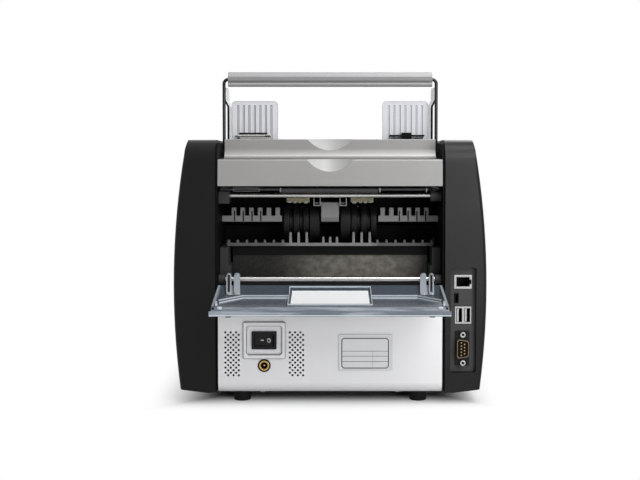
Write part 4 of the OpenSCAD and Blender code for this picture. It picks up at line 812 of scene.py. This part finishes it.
class COUNTER_OT_door(CounterOperator):
    """Clear rear door with its blank label and fittings, and the rod that it turns on"""
    bl_idname = "counter.door"
    bl_label = "Rear door"

    def execute(self, context):
        sizes = self.sizes()
        ear_inner, ear_outer, ear_end = 76.5 * MM, 92.6 * MM, REAR + 19.6 * MM
        hub, facet, rim = 4 * MM, 2 * MM, 3.8 * MM
        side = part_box("rear_door")[1].x - rim
        hinge = spot(0, HINGE_DEPTH, HINGE_HEIGHT)

        def in_ear(at):
            return ear_inner < abs(at.x) < ear_outer and at.y < ear_end

        def ear_edge(edge):
            at = (edge.verts[0].co + edge.verts[1].co) / 2
            off_hub = (at - hinge).yz.length > hub
            return in_ear(at) and edge.is_convex and off_hub and edge.calc_length() < facet

        def edge_lit(face):
            at = face.calc_center_median()
            return abs(at.x) > side or in_ear(at)

        keep("door_rod")
        # the door's side rims, hinge ears and rounded edges get the paler plastic as painted light
        soften("rear_door", sizes.moulding_edge, second="door_ear", whole=edge_lit,
               wide=(ear_edge, sizes.ear_edge))
        self.label()
        self.trim()
        self.ear_slots()
        self.stops()
        self.latches()
        return {"FINISHED"}

    @staticmethod
    def on_door(across, reach, rise=0.0):
        """A place on the open door's upper face, by its reach from the hinge axis in mm."""
        for (near, low), (far, high) in zip(DOOR_PROFILE, DOOR_PROFILE[1:]):
            if reach <= far:
                height = low + (high - low) * (reach - near) / (far - near)
                break
        return spot(across, HINGE_DEPTH - reach, HINGE_HEIGHT + height + rise)

    def label(self):
        """Blank white label in the middle of the door, by the reach and rise of its rows."""
        half = self.sizes().label_width / MM / 2
        thick = 0.2 * MM
        rows = ((22.5, 0.25), (DOOR_BEND, 1.0), (64.0, 1.0))
        with new_piece("door_label", "door", "clear_pale", "label") as bm:
            made = [[bm.verts.new(self.on_door(across, reach, rise)) for across in (-half, half)]
                    for reach, rise in rows]
            for near, far in zip(made, made[1:]):
                bm.faces.new((near[0], near[1], far[1], far[0]))
            bmesh.ops.recalc_face_normals(bm, faces=bm.faces)
            bmesh.ops.solidify(bm, geom=bm.faces, thickness=thick)

    def trim(self):
        """Raised frame round the label, raised lines out to the door's corners, and the lip's edge."""
        half = self.sizes().label_width / MM / 2 + 2.2
        frame_near, frame_far, rise, line_height = 16, 65.5, 0.5, 1.2
        frame_width, frame_edge, line_width, line_edge = 0.8, 0.25, 0.5, 0.2
        corner_lines = (((93.0, 60.0), (74.0, 43.0)), ((94.0, 51.0), (75.0, 35.0)))
        lip_reach, lip_rise, lip_half = 78.3, -1.7, 99.4
        lip_width, lip_height, lip_edge = 0.9, 1.0, 0.3
        outline = [(-half, frame_near), (-half, DOOR_BEND), (-half, frame_far),
                   (half, frame_far), (half, DOOR_BEND), (half, frame_near)]
        # raised shapes in a paler plastic that paints their highlights
        with new_piece("door_trim", "door", "clear_blue", "door_edge") as bm:
            trail(bm, [self.on_door(across, reach, rise) for across, reach in outline],
                  frame_width, line_height, frame_edge, closed=True)
            for hand in BOTH_SIDES:
                for outer, inner in corner_lines:
                    bends = [outer, inner, (half, inner[1])]
                    trail(bm, [self.on_door(hand * across, reach, rise) for across, reach in bends],
                          line_width, line_height, line_edge)
            lip = [self.on_door(hand * lip_half, lip_reach, lip_rise) for hand in BOTH_SIDES]
            bar(bm, *lip, lip_width, lip_height, lip_edge)

    @staticmethod
    def ear_slots():
        """Dark slots along the tops of the outer hinge ears."""
        ear_length, ear_inward, ear_drop = 31, 2.6, 14
        across, top, near, far = 89.85, 5.55, 2.5, 29
        width, height, edge = 1.9, 0.3, 0.05
        with new_piece("ear_slots", "door", "rubber") as bm:
            for hand in BOTH_SIDES:
                ends = [spot(hand * (across - ear_inward * reach / ear_length), HINGE_DEPTH - reach,
                             HINGE_HEIGHT + top - ear_drop * reach / ear_length) for reach in (near, far)]
                trail(bm, ends, width, height, edge)

    def stops(self):
        """Dark pads below the lip and at the corners, by place on the door, half sizes and rounding."""
        pads = (((84.0, 76.5, -3.6), (2.4, 1.6, 0.9), 0.4), ((96.6, 73.5, 0.4), (0.9, 1.1, 0.8), 0.3))
        with new_piece("door_stops", "door", "rubber") as bm:
            for hand in BOTH_SIDES:
                for (across, reach, rise), half, edge in pads:
                    stud(bm, self.on_door(hand * across, reach, rise), half, edge)

    def latches(self):
        """A raised bar and a catch at each outer corner."""
        bar_ends = ((95.6, 58.0, 0.6), (94.4, 69.5, 0.9))
        bar_width, bar_height, edge = 2.2, 2.4, 0.6
        catch_across, catch_reach, catch_rise = 91.2, 73.5, 0.7
        catch_half = (2.0, 1.5, 1.2)
        # latches in the paler plastic that paints their highlights
        with new_piece("door_latches", "door", "clear_blue", "door_edge") as bm:
            for hand in BOTH_SIDES:
                trail(bm, [self.on_door(hand * across, reach, rise) for across, reach, rise in bar_ends],
                      bar_width, bar_height, edge)
                stud(bm, self.on_door(hand * catch_across, catch_reach, catch_rise), catch_half, edge)


class COUNTER_OT_pocket(CounterOperator):
    """Rods, blocks, combs, flap, boards and plates of the rear pocket"""
    bl_idname = "counter.pocket"
    bl_label = "Rear pocket"

    def execute(self, context):
        edge = self.sizes().moulding_edge
        keep("tie_rod", "transport_plate")
        for node in ("pocket_roof", "pressure_flap", "upper_comb", "sensor_bar"):
            soften(node, edge)
        soften("lower_comb", edge, finish="comb")
        soften("rod_blocks", edge, finish="blocks")
        soften("sensor_boards", edge * 0.4)
        soften("flap_brackets", edge * 0.4, finish="zinc")
        # the sensor plate's finish carries a painted pool of light
        soften("sensor_window", edge, finish="worn_plate")
        self.board_parts()
        self.roof_clips()
        self.comb_slits()
        return {"FINISHED"}

    @staticmethod
    def board_parts():
        """Sensors and small parts on the two boards, by middle, width, rise from the foot and height."""
        parts = ((21.6, 3.4, -1.0, 2.6), (27.2, 2.6, -0.6, 1.6), (31.6, 2.6, -0.8, 2.2),
                 (36.2, 3.2, -0.4, 1.8), (24.8, 1.4, 2.4, 1.0), (34.0, 1.4, 2.2, 1.0))
        proud, sunk, edge = 1.5, 0.05, 0.2
        _, depth, z = extent("sensor_boards")
        faces = (depth[0] - proud, depth[0] + sunk)
        with new_piece("board_parts", "machine", "board", "part") as bm:
            for hand in BOTH_SIDES:
                for across, width, rise, tall in parts:
                    foot = z[0] + rise
                    block(bm, about(hand * across, width / 2), faces, (foot, foot + tall), edge)

    @staticmethod
    def roof_clips():
        """Bright clips at the ends of the roof's lip, and a wire frame on the roof's edge."""
        clips, clip_half, clip_edge = (-44.4, 44.4, -86.2), 0.7, 0.2
        wire_x, wire_thick, wire_edge = (63.5, 86.5), 0.45, 0.1
        _, depth, z = extent("pocket_roof")
        clip_depth = (depth[0] - 0.4, depth[0] + 2.2)
        clip_z = (z[0] + 1.6, z[0] + 5.6)
        wire_depth, wire_foot, wire_top = depth[0] + 1.8, z[0] + 2.4, z[0] + 5.4
        near, far = wire_x
        outline = [(near, wire_foot), (far, wire_foot), (far, wire_top), (near, wire_top)]
        with new_piece("roof_clips", "machine", "steel", "zinc") as bm:
            for across in clips:
                block(bm, about(across, clip_half), clip_depth, clip_z, clip_edge)
            trail(bm, [spot(across, wire_depth, height) for across, height in outline],
                  wire_thick, wire_thick, wire_edge, closed=True)

    @staticmethod
    def comb_slits():
        """Black bars down the outer teeth of the upper comb, as painted shade of slits."""
        teeth, slit_inward, slit_half, edge = (64, 72, 80, 88), 0.7, 0.6, 0.05
        _, depth, z = extent("upper_comb")
        slit_depth = (depth[0] - 0.12, depth[0] + 0.3)
        slit_z = (z[0] + 0.5, z[1] - 3.0)
        with new_piece("comb_slits", "machine", "black_plastic") as bm:
            for hand in BOTH_SIDES:
                for tooth in teeth:
                    block(bm, about(hand * (tooth - slit_inward), slit_half), slit_depth, slit_z, edge)


class COUNTER_OT_hopper(CounterOperator):
    """Hopper tray, guide rail, and the two sliding guides with their clips"""
    bl_idname = "counter.hopper"
    bl_label = "Hopper"

    def execute(self, context):
        edge = self.sizes().moulding_edge
        keep("guide_rail")
        soften("hopper_tray", edge)
        self.guide("left_guide", -1)
        self.guide("right_guide", 1)
        soften("left_guide_clip", edge)
        self.right_clip()
        self.left_clip_bars()
        return {"FINISHED"}

    def guide(self, node, hand):
        """A guide with darker edges, and a dark rear to its side plate."""
        side_plate, rearward = 5.6 * MM, 0.2
        outer = max(abs(corner.x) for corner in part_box(node)) - side_plate
        piece = soften(node, self.sizes().moulding_edge * 1.5, second="guide_edge")
        piece.data.materials.append(finish_of("guide_side"))
        bm = bmesh.new()
        bm.from_mesh(piece.data)
        bmesh.ops.bisect_plane(bm, geom=bm.verts[:] + bm.edges[:] + bm.faces[:], dist=SAME_POINT / 2,
                               plane_co=(hand * outer, 0, 0), plane_no=(1, 0, 0))
        for face in bm.faces:
            if abs(face.calc_center_median().x) > outer and face.normal.y > rearward:
                face.material_index = 2
        bm.to_mesh(piece.data)
        bm.free()

    def right_clip(self):
        """The right guide's clip, dark along its top, with dark ends."""
        x, depth, z = extent("right_guide_clip")
        top_line = UNDERSIDE + (z[1] - 1.6) * MM
        soften("right_guide_clip", self.sizes().moulding_edge, second="black_plastic", edges=False,
               whole=lambda face: face.calc_center_median().z > top_line)
        end_depth, end_z, end_edge = about(depth[0], 0.2), (z[0] + 6.3, z[0] + 7.4), 0.1
        with new_piece("right_clip_ends", "right_hopper_guide", "black_plastic") as bm:
            for ends in ((x[1] - 1.1, x[1] + 0.1), (x[0], x[0] + 5.6)):
                block(bm, ends, end_depth, end_z, end_edge)

    @staticmethod
    def left_clip_bars():
        """Dark bars on both halves of the left guide's clip."""
        bar_middle, bar_half, bar_edge = 10.25, 4.35, 0.1
        x, depth, z = extent("left_guide_clip")
        bar_depth, bar_z = (depth[1] - 1.6, depth[1]), (z[0] + 0.7, z[0] + 1.5)
        with new_piece("left_clip_bars", "left_hopper_guide", "black_plastic") as bm:
            for hand in BOTH_SIDES:
                block(bm, about(sum(x) / 2 + hand * bar_middle, bar_half), bar_depth, bar_z, bar_edge)


class COUNTER_OT_bail(CounterOperator):
    """Carry bail: bent wire and grip"""
    bl_idname = "counter.bail"
    bl_label = "Carry bail"

    def execute(self, context):
        keep("bail_wire", finish="bail")
        soften("bail_grip", self.sizes().moulding_edge)
        return {"FINISHED"}


class COUNTER_OT_drive(CounterOperator):
    """Shafts, rollers, pulleys, belts, impellers and motor"""
    bl_idname = "counter.drive"
    bl_label = "Drive"

    def execute(self, context):
        edge = self.sizes().moulding_edge
        keep("drive_shaft", finish="shaft")
        keep("pickup_shaft", "impeller_shaft", "shaft_bushes", "motor_pulley", "drive_belts")
        for node in ("drive_wheels", "ribbed_rollers"):
            soften(node, edge * 2, finish="tyre")
        for node in ("drive_pulley", "pickup_rollers", "impellers", "main_motor"):
            soften(node, edge)
        return {"FINISHED"}


class COUNTER_OT_front(CounterOperator):
    """Control panel, display, keys and stacker"""
    bl_idname = "counter.front"
    bl_label = "Front"

    def execute(self, context):
        keep("control_board")
        for node in ("control_panel", "display_lens", "key_1", "key_2", "key_3", "key_4", "stacker_tray"):
            soften(node, self.sizes().moulding_edge)
        return {"FINISHED"}


class COUNTER_OT_ports(CounterOperator):
    """Main board and the sockets in the port recess"""
    bl_idname = "counter.ports"
    bl_label = "Ports"

    def execute(self, context):
        edge = self.sizes().moulding_edge * 0.5
        shell_foot = REAR - (PORT_FACE - 0.9) * MM
        keep("main_board")
        for node in ("network_jack", "usb_jacks"):
            soften(node, edge, finish="nickel")
        soften("serial_port", edge, finish="bronze", second="housing_black", edges=False,
               whole=lambda face: face.calc_center_median().y < shell_foot)
        self.liners()
        self.tongues()
        self.contacts()
        return {"FINISHED"}

    @staticmethod
    def liners():
        """Black mouldings inside the sockets, and the dark middles of the jackscrews."""
        sockets = [(USB_X + side * USB_OFFSET, USB_Z, 2.5, 6.1, 0.3, 9.9, 0.15) for side in BOTH_SIDES]
        sockets.append((NETWORK_X, NETWORK_Z, 5.8, 4.15, 0.5, 12.9, 0.15))
        sockets.append((SERVICE_X, SERVICE_Z, 1.9, 4.3, -0.15, 8.0, 0.9))
        screw_offset, screw_depths, screw_radius = 12.5, (6.5, 6.75), 1.15
        insert_depth, insert_thick = PORT_FACE - 4.1, 3.5
        outline = [(-4.4, -8.0), (4.4, -6.3), (4.4, 6.3), (-4.4, 8.0)]
        with new_piece("port_liners", "machine", "black_plastic") as bm:
            for x, z, half_x, half_z, mouth, back, wall in sockets:
                liner(bm, about(x, half_x), (PORT_FACE + mouth, PORT_FACE + back), about(z, half_z), wall)
            for side in BOTH_SIDES:
                pin(bm, SERIAL_X, SERIAL_Z + side * screw_offset, screw_depths, screw_radius)
            insert = [bm.verts.new(spot(SERIAL_X - across, insert_depth, SERIAL_Z + height))
                      for across, height in outline]
            inner = bmesh.ops.extrude_face_region(bm, geom=[bm.faces.new(insert)])["geom"]
            moved = [each for each in inner if isinstance(each, bmesh.types.BMVert)]
            bmesh.ops.translate(bm, vec=(0, -insert_thick * MM, 0), verts=moved)
            bmesh.ops.recalc_face_normals(bm, faces=bm.faces)

    @staticmethod
    def tongues():
        """White tongues in the two upright sockets."""
        off_middle, half_width, half_height, edge = 1.275, 1.05, 5.8, 0.15
        depth = (PORT_FACE + 0.7, PORT_FACE + 9.8)
        with new_piece("usb_tongues", "machine", "light_grey", "label") as bm:
            for side in BOTH_SIDES:
                middle = USB_X + side * USB_OFFSET + off_middle
                block(bm, about(middle, half_width), depth, about(USB_Z, half_height), edge)

    @staticmethod
    def contacts():
        """Gilt pins of the serial port and springs of the network jack."""
        row_apart, pin_pitch, pin_radius = 2.84, 2.77, 0.62
        pin_depths = (PORT_FACE - 5.7, PORT_FACE - 4.0)
        springs, spring_pitch, spring_thick, spring_edge = 8, 1.02, 0.42, 0.1
        root, tip = (NETWORK_X + 5.4, PORT_FACE + 1.6), (NETWORK_X + 2.6, PORT_FACE + 9)
        with new_piece("port_contacts", "machine", "brass") as bm:
            for row, count in enumerate((5, 4)):
                for k in range(count):
                    height = SERIAL_Z + (k - (count - 1) / 2) * pin_pitch
                    pin(bm, SERIAL_X - (row - 0.5) * row_apart, height, pin_depths, pin_radius)
            for k in range(springs):
                height = NETWORK_Z + (k - (springs - 1) / 2) * spring_pitch
                bar(bm, spot(*root, height), spot(*tip, height), spring_thick, spring_thick, spring_edge)


class COUNTER_OT_stage(CounterOperator):
    """White floor and surroundings, soft lamps and the camera"""
    bl_idname = "counter.stage"
    bl_label = "Stage"

    def execute(self, context):
        scene = context.scene
        scene.view_settings.view_transform = "Standard"
        self.floor(scene)
        self.surroundings(scene)
        self.lamps(scene)
        self.camera(scene)
        return {"FINISHED"}

    @staticmethod
    def lamps(scene):
        """Soft lamps that look at the middle of the machine's rear half."""
        target = spot(0, 60, 120)
        for name, place, size, power in LAMPS:
            lamp = bpy.data.lights.new(name, "AREA")
            lamp.size, lamp.energy = size, power
            holder = bpy.data.objects.new(name, lamp)
            scene.collection.objects.link(holder)
            holder.visible_camera = False
            holder.location = place
            holder.rotation_euler = (target - Vector(place)).to_track_quat("-Z", "Y").to_euler()

    def camera(self, scene):
        """Camera behind the machine, tilted down a little."""
        view = bpy.data.cameras.new("camera")
        view.lens, view.sensor_width = LENS, SENSOR
        view.shift_x, view.shift_y = SHIFT_X, SHIFT_Y
        holder = bpy.data.objects.new("camera", view)
        scene.collection.objects.link(holder)
        holder.location = (0, REAR + self.sizes().camera_back, self.sizes().camera_height)
        holder.rotation_euler = (radians(90 - TILT), 0, pi)
        scene.camera = holder

    @staticmethod
    def seen(f):
        """1 for rays that see the background straight, mirrored or through glass."""
        straight, mirrored, through = (
            f.add("ShaderNodeLightPath", out=f"Is {ray} Ray") for ray in ("Camera", "Glossy", "Transmission"))
        return f.add("ShaderNodeMath", {"operation": "MINIMUM"}, {0: straight + mirrored + through, 1: 1.0})

    def floor(self, scene):
        """A wide flat floor."""
        half_width = 6.0
        bm = bmesh.new()
        bmesh.ops.create_grid(bm, x_segments=1, y_segments=1, size=half_width)
        mesh = bpy.data.meshes.new("floor")
        bm.to_mesh(mesh)
        bm.free()
        mesh.materials.append(self.floor_finish())
        floor = bpy.data.objects.new("floor", mesh)
        scene.collection.objects.link(floor)

    def floor_finish(self):
        """Pale floor that keeps the lamps' shadow, with a painted shadow below the machine that fades out
        past its base, where the floor turns white.
        """
        f = Finish("Studio floor")
        # painted shadow grey below the machine, and the pale floor paint round it
        painted_shadow_grey, pale, paler = (0.34, 0.34, 0.34), (0.78, 0.78, 0.78), (0.82, 0.82, 0.82)
        fade_inside, fade_outside = -40 * MM, 30 * MM
        low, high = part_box("left_housing")[0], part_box("right_housing")[1]
        middle = (low + high) / 2
        out = f.add("ShaderNodeMath", {"operation": "MAXIMUM"}, {
            0: f.away("X", middle.x) - (high.x - middle.x), 1: f.away("Y", middle.y) - (high.y - middle.y)})
        clear = f.fade(out, fade_inside, fade_outside)
        speckled = f.mix(f.noise(300, 2.0), pale, paler)
        paint = f.add("ShaderNodeBsdfDiffuse", None, {"Color": f.mix(clear, painted_shadow_grey, speckled)})
        glow = f.add("ShaderNodeEmission", None, {"Color": (1, 1, 1, 1), "Strength": 1.0})
        surface = f.add("ShaderNodeMixShader", None, {0: self.seen(f) * clear, 1: paint, 2: glow})
        f.add("ShaderNodeOutputMaterial", None, {"Surface": surface})
        return f.owner

    def surroundings(self, scene):
        """White where it is seen, a softer grey where it lights."""
        f = Finish("Studio", "worlds")
        grey, white = (0.20, 0.20, 0.203), (1.0, 1.0, 1.0)
        shade = f.mix(self.seen(f), grey, white)
        light = f.add("ShaderNodeBackground", None, {"Color": shade, "Strength": 1.0})
        f.add("ShaderNodeOutputWorld", None, {"Surface": light})
        scene.world = f.owner


class COUNTER_PT_steps(bpy.types.Panel):
    """Lists the steps and their settings"""
    bl_idname = "COUNTER_PT_steps"
    bl_label = "Banknote counter"
    bl_space_type = "VIEW_3D"
    bl_region_type = "UI"
    bl_category = "Counter"

    def draw(self, context):
        for step in STEPS:
            self.layout.operator(step.bl_idname)
        for group in (context.scene.counter_sizes, context.scene.counter_colours):
            for key in group.__annotations__:
                self.layout.prop(group, key)


STEPS = (COUNTER_OT_stage, COUNTER_OT_housings, COUNTER_OT_base, COUNTER_OT_rear_panel, COUNTER_OT_covers,
         COUNTER_OT_door, COUNTER_OT_pocket, COUNTER_OT_hopper, COUNTER_OT_bail, COUNTER_OT_drive,
         COUNTER_OT_front, COUNTER_OT_ports)
CLASSES = (CounterColours, CounterSizes, *STEPS, COUNTER_PT_steps)


def register():
    """Adds the classes, and the settings to the scene."""
    for each in CLASSES:
        bpy.utils.register_class(each)
    bpy.types.Scene.counter_colours = bpy.props.PointerProperty(type=CounterColours)
    bpy.types.Scene.counter_sizes = bpy.props.PointerProperty(type=CounterSizes)


def unregister():
    """Takes the settings and the classes away again."""
    del bpy.types.Scene.counter_sizes
    del bpy.types.Scene.counter_colours
    for each in reversed(CLASSES):
        bpy.utils.unregister_class(each)


def main():
    """Runs every step."""
    register()
    for step in STEPS:
        getattr(bpy.ops.counter, step.bl_idname.split(".")[1])()


if __name__ == "__main__":
    main()
